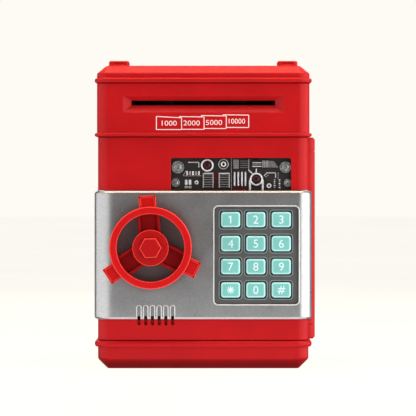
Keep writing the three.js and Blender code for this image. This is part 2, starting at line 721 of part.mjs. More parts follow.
function circuitRelief() {
  const plate = box(RELIEF.left, RELIEF.right, RELIEF.front, RELIEF.back, RELIEF.low, RELIEF.high);
  const screwHeads = [
    reliefDisc(-15, 120.5, 3.2),
    reliefDisc(-16.5, 111.2, 2.3),
    reliefDisc(49, 120.3, 3.1),
    reliefDisc(50.1, 111.2, 2.2),
  ];
  const rings = LEDS.map(({ x, z, ring }) => bar("y", ring, RELIEF.raised, RELIEF.front + 0.2, x, z, 20));
  const arch = LEDS[1];
  const archLegs = [-1, 1].map((side) => {
    const x = arch.x + side * (arch.ring + 0.2);
    return reliefBlock(x - 0.7, x + 0.7, 104.6, arch.z - 0.2, 1.6);
  });
  const heatSinks = [reliefBlock(-0.3, 6, 108.2, 116.9, 1.5), reliefBlock(9.3, 15.8, 108.2, 116.9, 1.5)];
  const resistors = Array.from({ length: 4 }, (_, i) => {
    const x = 18.7 + 2.2 * i;
    return reliefBlock(x - 0.45, x + 0.45, 108.5, 117.4);
  });
  const chips = [
    reliefDisc(12, 122, 3.3),
    reliefBlock(18, 26.5, 119.2, 124.9),
    reliefBlock(28.8, 35, 120.6, 123.4),
    reliefBlock(35.4, 38.8, 120, 124),
    reliefBlock(-10.5, -0.8, 115.4, 118.2, 1),
    reliefBlock(-10.8, -7.4, 108, 113.1, 1),
    reliefBlock(18, 25.5, 105.2, 108, 1.3),
    reliefBlock(36.2, 44.8, 112.6, 116.8, 0.8),
  ];
  const lampBore = RELIEF.led + 0.4;
  const ledHoles = LEDS.map(({ x, z }) =>
    bar("y", lampBore, RELIEF.raised - 1, RELIEF.back + 1, x, z, 16),
  );
  const raised = [...screwHeads, ...rings, ...archLegs, ...heatSinks, ...resistors, ...chips];
  return cut(join(plate, ...raised), ...ledHoles);
}

function ledLamp() {
  const dome = solid(new THREE.SphereGeometry(RELIEF.led, 12, 6));
  const stem = bar("y", RELIEF.led, 0, 4.5, 0, 0, 12);
  const foot = bar("y", RELIEF.ledFoot, 3.6, 4.6, 0, 0, 12);
  return join(dome, stem, foot);
}

function innerCover() {
  const { left, right, low, high, front, back, wall } = INNER_COVER;
  const outer = box(left, right, front, back, low, high);
  const hollow = box(left + wall, right - wall, front - 1, back - wall, low + wall, high - wall);
  const boltSlot = box(
    left - 1,
    left + wall + 1,
    LATCH.front - LATCH_CLEARANCE,
    LATCH.back + LATCH_CLEARANCE,
    LATCH_ROOT - LATCH_CLEARANCE,
    LATCH.top + LATCH_CLEARANCE,
  );
  const screwHoles = DOOR_SCREWS.map(([x, z]) => bar("y", 1.6, back - wall - 1, back + 1, x, z, 12));
  const journal = bar("y", 1.8, back - wall - 1, back + 1, WHEEL.x, WHEEL.z);
  return cut(outer, hollow, boltSlot, ...screwHoles, journal);
}

function speakerBody() {
  const { x, z, radius, magnet: magnetRadius } = SPEAKER;
  const rim = bar("y", radius, DOOR.skin + GAP, DOOR.skin + 3, x, z, 24);
  const basket = bar("y", radius - 4, DOOR.skin + 2, DOOR.skin + 6, x, z, 16);
  const magnet = bar("y", magnetRadius, DOOR.skin + 5, DOOR.skin + 10, x, z, 16);
  const cone = solid(
    new THREE.CylinderGeometry(3, radius - 1.5, 2, 24)
      .translate(x, DOOR.skin + GAP + 0.9, z),
  );
  return cut(join(rim, basket, magnet), cone);
}

function solenoidBody() {
  const { halfWidth, front, back, wall, plate, low, high, coil: coilRadius, bore } = SOLENOID;
  const { x } = PLUNGER;
  const frame = box(x - halfWidth, x + halfWidth, BOLT_Y - front, BOLT_Y + back, low, high);
  const sideWindows = box(
    x - halfWidth - 1,
    x + halfWidth + 1,
    BOLT_Y - front + wall,
    BOLT_Y + back - wall,
    low + plate,
    high - plate,
  );
  const coil = bar("z", coilRadius, low + 1, high - 1, x, BOLT_Y + (back - front) / 2, 16);
  return cut(join(cut(frame, sideWindows), coil), bar("z", bore, low - 1, high - 4, x, BOLT_Y, 16));
}

function solenoidPlunger() {
  return bar("z", PLUNGER.radius, PLUNGER.low, PLUNGER.high, PLUNGER.x, BOLT_Y, 14);
}

// ---------------------------------------------------------------- handwheel and latch

function outlineFrom(points) {
  return new THREE.Shape(points.map(([x, y]) => new THREE.Vector2(x, y)));
}

/** The rim, turned about the wheel's axis. */
function wheelRing() {
  const { ringInner, ringOuter, ringShoulder, front, back } = WHEEL;
  const section = [
    [ringInner, back],
    [ringInner, front + ringShoulder],
    [ringInner + 1, front],
    [ringOuter - 1.2, front],
    [ringOuter, front + ringShoulder],
    [ringOuter, back],
    [ringInner, back],
  ];
  return solid(new THREE.LatheGeometry(section.map(([radius, y]) => new THREE.Vector2(radius, y)), 36));
}

/** One flared arm with its two ribs and the lug outside the rim, turned by an angle in radians. */
function wheelArm(turn) {
  const { armRoot, armHalf, armFront, armBack, ribFront, ribWidth, ringInner, ringOuter } = WHEEL;
  const floor = outlineFrom([
    [-armRoot, 5],
    [armRoot, 5],
    [armHalf, 15],
    [armHalf, ringInner + 2],
    [-armHalf, ringInner + 2],
    [-armHalf, 15],
  ]);
  const { lugHalf, lugEnd, lugFront } = WHEEL;
  const lug = roundedRectangle(-lugHalf, lugHalf, ringOuter - 2, lugEnd, [0, 0, 0.8, 0.8]);
  const ribs = [-armHalf, armHalf - ribWidth].map((x) =>
    box(x, x + ribWidth, ribFront, armFront + 1, 8, ringInner + 1),
  );
  const arm = join(
    facing(floor, armFront, armBack),
    facing(lug, lugFront, armBack, [0.5, 0.5], 2),
    ...ribs,
  );
  return arm.rotate([0, THREE.MathUtils.radToDeg(turn), 0]);
}

/** The wheel is built on its own axis, with its front towards -Y. */
function handwheel() {
  const arms = [0, 1, 2].map((n) => wheelArm(-WHEEL.tilt + (n * 2 * Math.PI) / 3));
  const hub = bar("y", WHEEL.hub, WHEEL.front, WHEEL.hubBack, 0, 0, 28);
  const shaftBore = bar("y", SHAFT.radius + GAP, SHAFT.front - GAP, 0);
  const capBore = bar("y", WHEEL_CAP.peg + GAP, WHEEL.front - 0.2, WHEEL_CAP.pegBack + GAP, 0, 0, 16);
  return cut(join(wheelRing(), hub, ...arms), shaftBore, capBore);
}

function wheelCap() {
  const { across, front, back, slope, peg, pegBack } = WHEEL_CAP;
  const radius = across / Math.sqrt(3);
  const hex = new THREE.CylinderGeometry(radius - slope, radius, back - front, 6);
  hex.rotateX(Math.PI);
  hex.rotateY(Math.PI / 2);
  const head = solid(hex.translate(0, (front + back) / 2, 0));
  return join(head, bar("y", peg, back - GAP, pegBack, 0, 0, 16));
}

function wheelShaft() {
  const toothFront = LATCH.front - LATCH_CLEARANCE - FASCIA.front;
  const toothBack = LATCH.back + LATCH_CLEARANCE - FASCIA.front;
  const journalEnd = INNER_COVER.back - 0.5 - FASCIA.front;
  const shaft = bar("y", SHAFT.radius, SHAFT.front, toothFront + 0.2);
  const pinion = facing(gearShape(LATCH.teeth, LATCH.module, LATCH.backlash), toothFront, toothBack);
  const gapTowardsRack = 180 / LATCH.teeth - 90;
  const journal = bar("y", SHAFT.journal, toothBack - 0.5, journalEnd, 0, 0, 14);
  return join(shaft, pinion.rotate([0, gapTowardsRack, 0]), journal);
}

/** One rack tooth hanging from the bolt, its middle at x on the pitch line. */
function rackTooth(x) {
  const pitchLine = WHEEL.z + LATCH_PITCH_RADIUS;
  const tip = pitchLine - ADDENDUM * LATCH.module;
  const top = LATCH_ROOT + 0.2;
  const slope = Math.tan(PRESSURE_ANGLE);
  const halfAtPitch = ((Math.PI * LATCH.module) / 2 - LATCH.backlash) / 2;
  const tipHalf = halfAtPitch - (pitchLine - tip) * slope;
  const topHalf = halfAtPitch + (top - pitchLine) * slope;
  const outline = outlineFrom([
    [x - tipHalf, tip],
    [x + tipHalf, tip],
    [x + topHalf, top],
    [x - topHalf, top],
  ]);
  return facing(outline, LATCH.front, LATCH.back);
}

function latchBolt() {
  const pitch = Math.PI * LATCH.module;
  const stock = box(LATCH.tip, LATCH.end, LATCH.front, LATCH.back, LATCH_ROOT, LATCH.top);
  const teeth = Array.from({ length: LATCH.rackTeeth }, (_, i) => rackTooth(WHEEL.x + (i - 2) * pitch));
  const notches = [PLUNGER.x, PLUNGER.x + LATCH_TRAVEL].map((x) =>
    box(
      x - PLUNGER.notch / 2,
      x + PLUNGER.notch / 2,
      LATCH.front - 1,
      LATCH.back + 1,
      PLUNGER.notchFloor,
      LATCH.top + 1,
    ),
  );
  return cut(join(stock, ...teeth), ...notches);
}

function latchKeeper() {
  const { thickness, low, high, back, lipEnd, lipLow, lipHigh } = KEEPER;
  const wallFace = WALL - CASING.halfWidth + GAP;
  const front = CASING.front + GAP;
  const plate = box(wallFace, wallFace + thickness, front, back, low, high);
  const lip = box(wallFace + 1, lipEnd, front, LATCH.front - LATCH_CLEARANCE, lipLow, lipHigh);
  return join(plate, lip);
}

// ---------------------------------------------------------------- assembly

function addCasing() {
  piece(bank, "base_cover", baseCover(), redPlastic());
  piece(bank, "main_casing", mainCasing(), redPlastic());
  piece(bank, "note_housing", noteHousing(), redPlastic());
  piece(bank, "top_cover", topCover(), redPlastic());
  piece(bank, "latch_keeper", latchKeeper(), steel());
  const pin = bar("z", HINGE.pin, CASING.bottom + 2.3, CASING.top - 0.3, 0, 0, 14);
  piece(bank, "hinge_pin", pin, steel()).position.set(HINGE.x, HINGE.y, 0);
  BASE_SCREWS.forEach(([x, y], i) => {
    const mesh = piece(bank, `base_screw_${i + 1}`, screw(BASE_SCREW), steel());
    mesh.rotation.x = Math.PI;
    mesh.position.set(x, y, BASE_SCREW_AT.z);
  });
}

function addFeed() {
  piece(bank, "cash_shelf", cashShelf(), blackPlastic());
  piece(bank, "note_guide", noteGuide(), blackPlastic());
  piece(bank, "bracket_left", sideBracket(-1), steel());
  piece(bank, "bracket_right", sideBracket(1), steel());
  piece(bank, "coin_chute", coinChute(), darkPlastic());
  piece(bank, "feed_motor", feedMotor(), steel()).position.set(0, MOTOR_Y, MOTOR.z);
  piece(bank, "motor_pinion", motorPinion(), steel()).position.set(0, MOTOR_Y, MOTOR.z);
  piece(bank, "drive_roller", driveRoller(), rubber()).position.set(0, FEED.y, FEED.z);
  piece(bank, "idler_roller", idlerRoller(), rubber()).position.set(0, FEED.y, IDLER_Z);
  const board = box(BOARD.left, BOARD.right, BOARD.front, BOARD.back, SHELF.top + GAP, BOARD.top);
  piece(bank, "main_board", board, circuitBoard());
  const chip = box(BOARD.left + 14, BOARD.right - 16, BOARD.front - 2, BOARD.front - 0.2, 150, 160);
  piece(bank, "board_chip", chip, blackPlastic());
}

function addBatteries() {
  piece(bank, "battery_box", batteryBox(), blackPlastic());
  for (let i = 0; i < 3; i += 1) {
    const cell = piece(bank, `battery_cell_${i + 1}`, batteryCell(), darkPlastic());
    cell.position.set(i % 2 === 0 ? -0.5 : 0.5, CELL.y, CELL.firstZ + i * CELL.pitch);
    cell.rotation.z = i % 2 === 0 ? 0 : Math.PI;
  }
  piece(bank, "battery_hatch", batteryHatch(), redPlastic());
  const hatchScrew = piece(bank, "battery_hatch_screw", screw(HATCH_SCREW), steel());
  hatchScrew.rotation.x = -Math.PI / 2;
  hatchScrew.position.set(0, HATCH.outside + GAP, HATCH.screwZ);
}

function addDoor() {
  piece(bank, "door_panel", doorPanel(), redPlastic());
  piece(bank, "silver_fascia", silverFascia(), silverPaint());
  piece(bank, "keypad_bezel", keypadBezel(), darkPlastic());
  piece(bank, "keypad_board", keypadBoard(), circuitBoard());
  piece(bank, "circuit_relief", circuitRelief(), darkPlastic());
  LEDS.forEach(({ x, z }, i) => {
    const lamp = piece(bank, `led_${i + 1}`, ledLamp(), lampPlastic());
    lamp.position.set(x, RELIEF.raised + 1.2, z);
  });
  piece(bank, "door_inner_cover", innerCover(), blackPlastic());
  piece(bank, "speaker", speakerBody(), darkPlastic());
  piece(bank, "solenoid", solenoidBody(), steel());
  piece(bank, "solenoid_plunger", solenoidPlunger(), steel());
  DOOR_SCREWS.forEach(([x, z], i) => {
    const mesh = piece(bank, `door_screw_${i + 1}`, screw(DOOR_SCREW), steel());
    mesh.rotation.x = -Math.PI / 2;
    mesh.position.set(x, INNER_COVER.back + GAP, z);
  });
}

function addKeys() {
  KEYS.names.forEach((name, i) => {
    const key = piece(bank, `key_${name}`, keyCap(), mintPlastic());
    key.position.set(KEYS.x[i % 3], KEYS.front, KEYS.z[Math.floor(i / 3)]);
  });
}

function addLatch() {
  const wheelAxis = new THREE.Group();
  wheelAxis.position.set(WHEEL.x, FASCIA.front, WHEEL.z);
  bank.add(wheelAxis);
  piece(wheelAxis, "handwheel", handwheel(), redPlastic());
  piece(wheelAxis, "wheel_cap", wheelCap(), redPlastic());
  piece(wheelAxis, "wheel_shaft", wheelShaft(), steel());
  piece(bank, "latch_bolt", latchBolt(), steel());
}

addCasing();
addFeed();
addBatteries();
addDoor();
addKeys();
addLatch();

export default bank;
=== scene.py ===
"""Looks for the toy cash-machine savings bank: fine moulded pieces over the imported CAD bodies."""

import math

import bmesh
import bpy
from mathutils import Matrix, Vector


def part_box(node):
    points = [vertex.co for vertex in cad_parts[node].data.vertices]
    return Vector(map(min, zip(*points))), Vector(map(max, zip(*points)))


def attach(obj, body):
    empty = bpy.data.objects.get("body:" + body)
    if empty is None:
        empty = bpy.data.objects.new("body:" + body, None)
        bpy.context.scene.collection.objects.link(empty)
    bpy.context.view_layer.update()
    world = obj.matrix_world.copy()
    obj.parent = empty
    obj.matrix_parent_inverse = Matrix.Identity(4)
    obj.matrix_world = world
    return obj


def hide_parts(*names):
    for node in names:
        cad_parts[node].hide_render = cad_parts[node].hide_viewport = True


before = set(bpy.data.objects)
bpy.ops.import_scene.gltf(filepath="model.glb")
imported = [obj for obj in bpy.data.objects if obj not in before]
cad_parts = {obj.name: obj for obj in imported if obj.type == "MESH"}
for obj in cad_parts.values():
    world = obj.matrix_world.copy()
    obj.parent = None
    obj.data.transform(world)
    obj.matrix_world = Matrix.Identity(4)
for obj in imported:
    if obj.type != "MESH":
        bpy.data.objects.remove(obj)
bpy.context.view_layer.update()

MM = 0.001

# ---------------------------------------------------------------- sizes taken from the frame, in mm


def extent(node):
    low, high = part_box(node)
    return [v / MM for v in low], [v / MM for v in high]


BASE_HIGH = extent("base_cover")[1]
CASING_LOW, CASING_HIGH = extent("main_casing")
HOUSING_LOW, HOUSING_HIGH = extent("note_housing")
COVER_HIGH = extent("top_cover")[1]
DOOR_LOW, DOOR_HIGH = extent("door_panel")
FASCIA_LOW, FASCIA_HIGH = extent("silver_fascia")
RELIEF_LOW, RELIEF_HIGH = extent("circuit_relief")

BAND_X = BASE_HIGH[0]
BAND_Y = BASE_HIGH[1]
CASING_X = -CASING_LOW[0]
CASING_Y = CASING_HIGH[1]
HOUSING_X = CASING_X + 0.6
HOUSING_Y = CASING_Y + 0.6
CORNER = 7.0
WALL = 2.5
PAD_HEIGHT = 2.9
BASE_SCREWS = [(sx * 49.0, sy * 24.0) for sx in (-1, 1) for sy in (-1, 1)]
COVER_BAND_LOW = 170.8
ROOF = COVER_HIGH[2] - PAD_HEIGHT

HINGE = (62.6, -38.0)
HINGE_RADIUS = 4.5
HINGE_LOW, HINGE_HIGH = 26.0, 130.2
PIN_CLEAR, WEB_WIDTH, WEB_BACK = 2.2, 3.4, 6.0
WHEEL_CENTRE = (-31.1, 72.6)
WHEEL_TILT = math.radians(4)
SHAFT_HOLE = 3.4
FASCIA_FRONT = -54.0
KEY_PLATE = -52.4
RELIEF_FACE = RELIEF_LOW[1] + 2.0
RELIEF_FOOT = 0.2
WINDOW = (-19.3, 52.4, 104.2, 125.9)
KEYPAD = (5.8, 57.6, 38.0, 97.7)
SLOT_XS = [-38.25 + 4.0 * i for i in range(6)]
SLOT_LOW, SLOT_HIGH, SLOT_HALF = 26.2, 37.9, 1.0
SLOT_THROUGH = 31.8
KEY_NAMES = ["1", "2", "3", "4", "5", "6", "7", "8", "9", "star", "0", "hash"]

# ---------------------------------------------------------------- camera and light

VIEW_WIDTH = 247.6
VIEW_X, VIEW_Z = 2.86, 96.07
CAMERA_DISTANCE = 1400.0
CAMERA_HEIGHT = 112.0
SENSOR = 36.0
CREAM = (0.985, 0.967, 0.9)
WARM = (1.0, 0.9, 0.78)
AMBER = (1.0, 0.82, 0.64)
ROOM_ABOVE, ROOM_BELOW = 0.01, 0.3


def add_camera():
    data = bpy.data.cameras.new("camera")
    data.sensor_width = SENSOR
    data.lens = SENSOR * CAMERA_DISTANCE / VIEW_WIDTH
    data.shift_y = (VIEW_Z - CAMERA_HEIGHT) / VIEW_WIDTH
    camera = bpy.data.objects.new("camera", data)
    camera.location = Vector((VIEW_X, -BAND_Y - CAMERA_DISTANCE, CAMERA_HEIGHT)) * MM
    camera.rotation_euler = (math.pi / 2, 0, 0)
    bpy.context.scene.collection.objects.link(camera)
    bpy.context.scene.camera = camera


def add_softbox(name, place, target, size, radiance, color=(1, 1, 1)):
    """A rectangular light; radiance 1 looks as bright as a white surface that clips."""
    data = bpy.data.lights.new(name, "AREA")
    data.shape = "RECTANGLE"
    data.size, data.size_y = size
    data.energy = radiance * math.pi * size[0] * size[1]
    data.color = color
    light = bpy.data.objects.new(name, data)
    light.location = place
    direction = Vector(target) - Vector(place)
    light.rotation_euler = direction.to_track_quat("-Z", "Y").to_euler()
    light.visible_camera = False
    bpy.context.scene.collection.objects.link(light)


def add_lights():
    add_softbox("softbox_left", (-0.5, -0.42, 0.25), (0, -0.42, 0.25), (1.1, 0.7), 1.5)
    add_softbox("softbox_right", (0.5, -0.42, 0.25), (0, -0.42, 0.25), (1.1, 0.7), 2.9)
    add_softbox("softbox_top", (0, -0.5, 0.75), (0, -0.03, 0.1), (0.9, 0.4), 0.95, WARM)
    add_softbox("softbox_roof", (0, -0.05, 0.8), (0, -0.05, 0.18), (0.8, 0.5), 7.0, AMBER)
    add_softbox("softbox_back", (0, 0.7, 0.5), (0, 0.05, 0.1), (0.9, 0.6), 1.6)
    add_softbox("front_reflector", (0, -0.194, 0.003), (0, -0.194, 0.5), (0.5, 0.28), 1.1)


def add_world():
    """Cream behind the object; for light, a dim room that is a little brighter from below."""
    world = bpy.data.worlds.new("studio")
    world.use_nodes = True
    nodes, links = world.node_tree.nodes, world.node_tree.links
    room = nodes["Background"]
    direction = nodes.new("ShaderNodeTexCoord")
    split = nodes.new("ShaderNodeSeparateXYZ")
    links.new(direction.outputs["Generated"], split.inputs[0])
    strength = map_range(world.node_tree, split.outputs["Z"], -0.3, 0.3, ROOM_BELOW, ROOM_ABOVE)
    links.new(strength, room.inputs["Strength"])
    room.inputs["Color"].default_value = (1, 1, 1, 1)
    seen = nodes.new("ShaderNodeBackground")
    seen.inputs["Color"].default_value = (*CREAM, 1)
    mix = nodes.new("ShaderNodeMixShader")
    path = nodes.new("ShaderNodeLightPath")
    links.new(path.outputs["Is Camera Ray"], mix.inputs[0])
    links.new(room.outputs[0], mix.inputs[1])
    links.new(seen.outputs[0], mix.inputs[2])
    links.new(mix.outputs[0], nodes["World Output"].inputs["Surface"])
    bpy.context.scene.world = world
    bpy.context.scene.view_settings.view_transform = "Standard"


# ---------------------------------------------------------------- materials

FINE_GRAIN = 900.0
GRAIN_DEPTH = 0.00003
# Width and strength of the paler edges, which are partly wear and partly painted highlight.
EDGE_WIDTH, EDGE_STRENGTH = 0.35, 0.5
BRUSHED_ALONG_Z = (1, 1, 12)


def material_nodes(name, color, roughness, metallic=0.0):
    material = bpy.data.materials.new(name)
    material.use_nodes = True
    tree = material.node_tree
    bsdf = tree.nodes["Principled BSDF"]
    bsdf.inputs["Base Color"].default_value = (*color, 1)
    bsdf.inputs["Roughness"].default_value = roughness
    bsdf.inputs["Metallic"].default_value = metallic
    return material, tree, bsdf


def noise(tree, scale, detail=3.0, stretch=None):
    coordinates = tree.nodes.new("ShaderNodeTexCoord")
    texture = tree.nodes.new("ShaderNodeTexNoise")
    texture.inputs["Scale"].default_value = scale
    texture.inputs["Detail"].default_value = detail
    source = coordinates.outputs["Object"]
    if stretch:
        mapping = tree.nodes.new("ShaderNodeMapping")
        mapping.inputs["Scale"].default_value = stretch
        tree.links.new(source, mapping.inputs["Vector"])
        source = mapping.outputs["Vector"]
    tree.links.new(source, texture.inputs["Vector"])
    return texture.outputs["Fac"]


def map_range(tree, source, start, end, low, high, shape="LINEAR"):
    """Maps the range from start to end on to low to high."""
    node = tree.nodes.new("ShaderNodeMapRange")
    node.interpolation_type = shape
    for socket, value in zip(("From Min", "From Max", "To Min", "To Max"), (start, end, low, high)):
        node.inputs[socket].default_value = value
    tree.links.new(source, node.inputs["Value"])
    return node.outputs["Result"]


def ramp(tree, source, low, high):
    """Spreads the middle of a noise over a range of numbers."""
    return map_range(tree, source, 0.3, 0.7, low, high)


def color_ramp(tree, source, low, high):
    """Spreads the middle of a noise over a range of colours."""
    node = tree.nodes.new("ShaderNodeValToRGB")
    for element, position, color in zip(node.color_ramp.elements, (0.35, 0.65), (low, high)):
        element.position = position
        element.color = (*color, 1)
    tree.links.new(source, node.inputs["Fac"])
    return node.outputs["Color"]


def mix_colors(tree, factor, color_socket, other):
    """Fades the colour of a socket towards another colour."""
    mix = tree.nodes.new("ShaderNodeMix")
    mix.data_type = "RGBA"
    colors = [socket for socket in mix.inputs if socket.type == "RGBA"]
    colors[1].default_value = (*other, 1)
    tree.links.new(factor, mix.inputs["Factor"])
    tree.links.new(color_socket, colors[0])
    return next(s for s in mix.outputs if s.type == "RGBA")


def rubbed_edges(tree, color_socket, edge_color):
    """Paler edges: partly wear as on handled plastic, partly painted highlight; found where a rounded
    normal leaves the true one.
    """
    rounded_normal = tree.nodes.new("ShaderNodeBevel")
    rounded_normal.samples = 6
    rounded_normal.inputs["Radius"].default_value = EDGE_WIDTH * MM
    geometry = tree.nodes.new("ShaderNodeNewGeometry")
    agreement = tree.nodes.new("ShaderNodeVectorMath")
    agreement.operation = "DOT_PRODUCT"
    tree.links.new(rounded_normal.outputs["Normal"], agreement.inputs[0])
    tree.links.new(geometry.outputs["Normal"], agreement.inputs[1])
    edge = map_range(tree, agreement.outputs["Value"], 0.995, 0.9, 0.0, EDGE_STRENGTH)
    return mix_colors(tree, edge, color_socket, edge_color)


def bump(tree, bsdf, height, strength, distance):
    node = tree.nodes.new("ShaderNodeBump")
    node.inputs["Strength"].default_value = strength
    node.inputs["Distance"].default_value = distance
    tree.links.new(height, node.inputs["Height"])
    tree.links.new(node.outputs["Normal"], bsdf.inputs["Normal"])


def moulded(name, color, roughness, spread=0.12, bump_strength=0.12, edge=None, coat=0.0, specular=0.5):
    """Injection-moulded plastic: faint tone drift, fine surface grain, uneven gloss."""
    material, tree, bsdf = material_nodes(name, color, roughness)
    low = tuple(c * (1 - spread) for c in color)
    high = tuple(min(1, c * (1 + spread)) for c in color)
    tone = color_ramp(tree, noise(tree, 45, 4), low, high)
    # Optional paler edges: partly wear, partly painted highlight.
    if edge:
        tone = rubbed_edges(tree, tone, edge)
    tree.links.new(tone, bsdf.inputs["Base Color"])
    gloss = ramp(tree, noise(tree, 160, 5), roughness - 0.05, roughness + 0.07)
    tree.links.new(gloss, bsdf.inputs["Roughness"])
    bump(tree, bsdf, noise(tree, FINE_GRAIN, 2), bump_strength, GRAIN_DEPTH)
    bsdf.inputs["Coat Weight"].default_value = coat
    bsdf.inputs["Coat Roughness"].default_value = 0.15
    bsdf.inputs["Specular IOR Level"].default_value = specular
    return material


def metal_paint(name, color, roughness, metallic, flake=700.0, spread=0.06, ring=False):
    """Silver paint: small flakes vary its tone and a coarser drift its gloss."""
    material, tree, bsdf = material_nodes(name, color, roughness, metallic)
    low = tuple(c * (1 - spread) for c in color)
    high = tuple(min(1, c * (1 + spread)) for c in color)
    tone = color_ramp(tree, noise(tree, flake, 2), low, high)
    # ring paints the handwheel's shade and red reflection on to the silver.
    if ring:
        tone = rubbed_ring(tree, tone)
    tree.links.new(tone, bsdf.inputs["Base Color"])
    gloss = ramp(tree, noise(tree, 90, 2), roughness - 0.03, roughness + 0.04)
    tree.links.new(gloss, bsdf.inputs["Roughness"])
    return material


def rubbed_ring(tree, color_socket):
    """Painted shade with a painted red reflection of the handwheel on the paint behind it, strongest
    inside the ring.
    """
    coordinates = tree.nodes.new("ShaderNodeTexCoord")
    from_axis = tree.nodes.new("ShaderNodeVectorMath")
    from_axis.operation = "DISTANCE"
    from_axis.inputs[1].default_value = (WHEEL_CENTRE[0] * MM, FASCIA_FRONT * MM, WHEEL_CENTRE[1] * MM)
    tree.links.new(coordinates.outputs["Object"], from_axis.inputs[0])
    fade = map_range(tree, from_axis.outputs["Value"], 19 * MM, 29 * MM, 0.75, 0.0, "SMOOTHSTEP")
    return mix_colors(tree, fade, color_socket, (0.11, 0.04, 0.04))


def steel(name, color=(0.55, 0.55, 0.56), roughness=0.3):
    material, tree, bsdf = material_nodes(name, color, roughness, 1.0)
    brushed = noise(tree, 420, 6, BRUSHED_ALONG_Z)
    tree.links.new(ramp(tree, brushed, roughness - 0.08, roughness + 0.12), bsdf.inputs["Roughness"])
    low = tuple(c * 0.8 for c in color)
    tree.links.new(color_ramp(tree, brushed, low, color), bsdf.inputs["Base Color"])
    bump(tree, bsdf, brushed, 0.1, 0.00002)
    return material


def circuit_board(name):
    material, tree, bsdf = material_nodes(name, (0.03, 0.13, 0.05), 0.35)
    coordinates = tree.nodes.new("ShaderNodeTexCoord")
    bricks = tree.nodes.new("ShaderNodeTexBrick")
    bricks.inputs["Scale"].default_value = 160
    bricks.inputs["Mortar Size"].default_value = 0.035
    bricks.inputs["Color1"].default_value = (0.03, 0.13, 0.05, 1)
    bricks.inputs["Color2"].default_value = (0.035, 0.16, 0.06, 1)
    bricks.inputs["Mortar"].default_value = (0.12, 0.3, 0.12, 1)
    tree.links.new(coordinates.outputs["Object"], bricks.inputs["Vector"])
    tree.links.new(bricks.outputs["Color"], bsdf.inputs["Base Color"])
    bump(tree, bsdf, noise(tree, FINE_GRAIN, 2), 0.15, GRAIN_DEPTH)
    return material


RED = (0.46, 0.0068, 0.0088)
WHEEL_RED = (0.55, 0.0075, 0.0095)
MATERIALS = {
    "wheel_red": moulded("wheel_abs", WHEEL_RED, 0.34, spread=0.05, specular=0.1),
    # A darker copy of the wheel red for the hub and hex cap: painted shade.
    "hub_shaded_red": moulded("hub_abs_painted_shade", (0.41, 0.006, 0.0075), 0.34, spread=0.06, specular=0.12),
    # A paler red for the wheel's chamfers: painted highlight.
    "wheel_highlight": moulded("wheel_abs_painted_highlight", (0.85, 0.06, 0.04), 0.3, spread=0.05, specular=0.2),
    # A darker red for the spoke channels: painted shade.
    "wheel_shade": moulded("wheel_abs_painted_shade", (0.25, 0.0035, 0.0045), 0.4, spread=0.12, specular=0.08),
    # A darker red for the spoke ribs: painted shade.
    "wheel_rib_shade": moulded("wheel_abs_rib_painted_shade", (0.34, 0.0045, 0.0055), 0.36, spread=0.08, specular=0.1),
    "red": moulded("red_abs", RED, 0.38, spread=0.05, edge=(0.9, 0.04, 0.02), specular=0.12),
    # The silver carries painted shade and red reflection round the handwheel.
    "silver": metal_paint("silver_paint", (0.40, 0.40, 0.40), 0.3, 0.85, ring=True),
    # Paler silver: painted highlight on the fascia's lower edge, and the colour of the pale slot rims.
    "pale_silver_and_highlight": metal_paint("silver_paint_pale_and_highlight", (0.62, 0.6, 0.6), 0.35, 0.5),
    # Paler than the silver: painted highlight on the keypad's raised rim.
    "rim": metal_paint("pale_rim_highlight", (0.62, 0.62, 0.62), 0.3, 0.4),
    "plate": moulded("dark_plate", (0.075, 0.076, 0.075), 0.42, spread=0.15),
    "relief": moulded("relief_base", (0.022, 0.018, 0.019), 0.4, spread=0.25, specular=0.3),
    "chrome": metal_paint("plated_relief", (0.72, 0.72, 0.72), 0.25, 0.3),
    "soft_chrome": metal_paint("dull_relief", (0.36, 0.35, 0.345), 0.3, 0.35),
    "worn_chrome": metal_paint("worn_relief", (0.27, 0.28, 0.28), 0.26, 0.4, 900.0, 0.45),
    "fin": metal_paint("relief_fin", (0.22, 0.2, 0.2), 0.3, 0.35),
    "key_line": metal_paint("key_outline", (0.27, 0.33, 0.32), 0.35, 0.3),
    "dark_red": moulded("dark_red_lamp", (0.035, 0.003, 0.005), 0.22, spread=0.15, specular=0.2),
    # Dark red patches on the relief: a painted red glow.
    "painted_red_glow": moulded("relief_painted_glow", (0.09, 0.006, 0.009), 0.35, spread=0.3, specular=0.2),
    "mint": moulded("mint_keys", (0.18, 0.5, 0.46), 0.4, spread=0.06, specular=0.3),
    # Paler mint for the keys' shoulders: painted highlight.
    "mint_highlight": moulded("mint_key_painted_highlight", (0.43, 0.75, 0.74), 0.35, spread=0.04, specular=0.3),
    "print": moulded("pale_print", (0.66, 0.82, 0.82), 0.5, spread=0.03),
    "pink_print": moulded("value_print", (0.92, 0.68, 0.68), 0.5, spread=0.03),
    "black": moulded("black_abs", (0.018, 0.018, 0.019), 0.45, spread=0.2, edge=(0.06, 0.06, 0.06)),
    "dark": moulded("dark_abs", (0.05, 0.05, 0.052), 0.5, spread=0.15),
    "steel": steel("plated_steel"),
    "board": circuit_board("circuit_board"),
    "rubber": moulded("rubber", (0.02, 0.02, 0.02), 0.8, spread=0.2, bump_strength=0.3),
    "battery": moulded("battery_jacket", (0.03, 0.03, 0.035), 0.3, spread=0.2, coat=0.5),
    "brass": steel("brass_end", (0.6, 0.42, 0.16), 0.32),
}

# ---------------------------------------------------------------- outlines and meshes, in mm


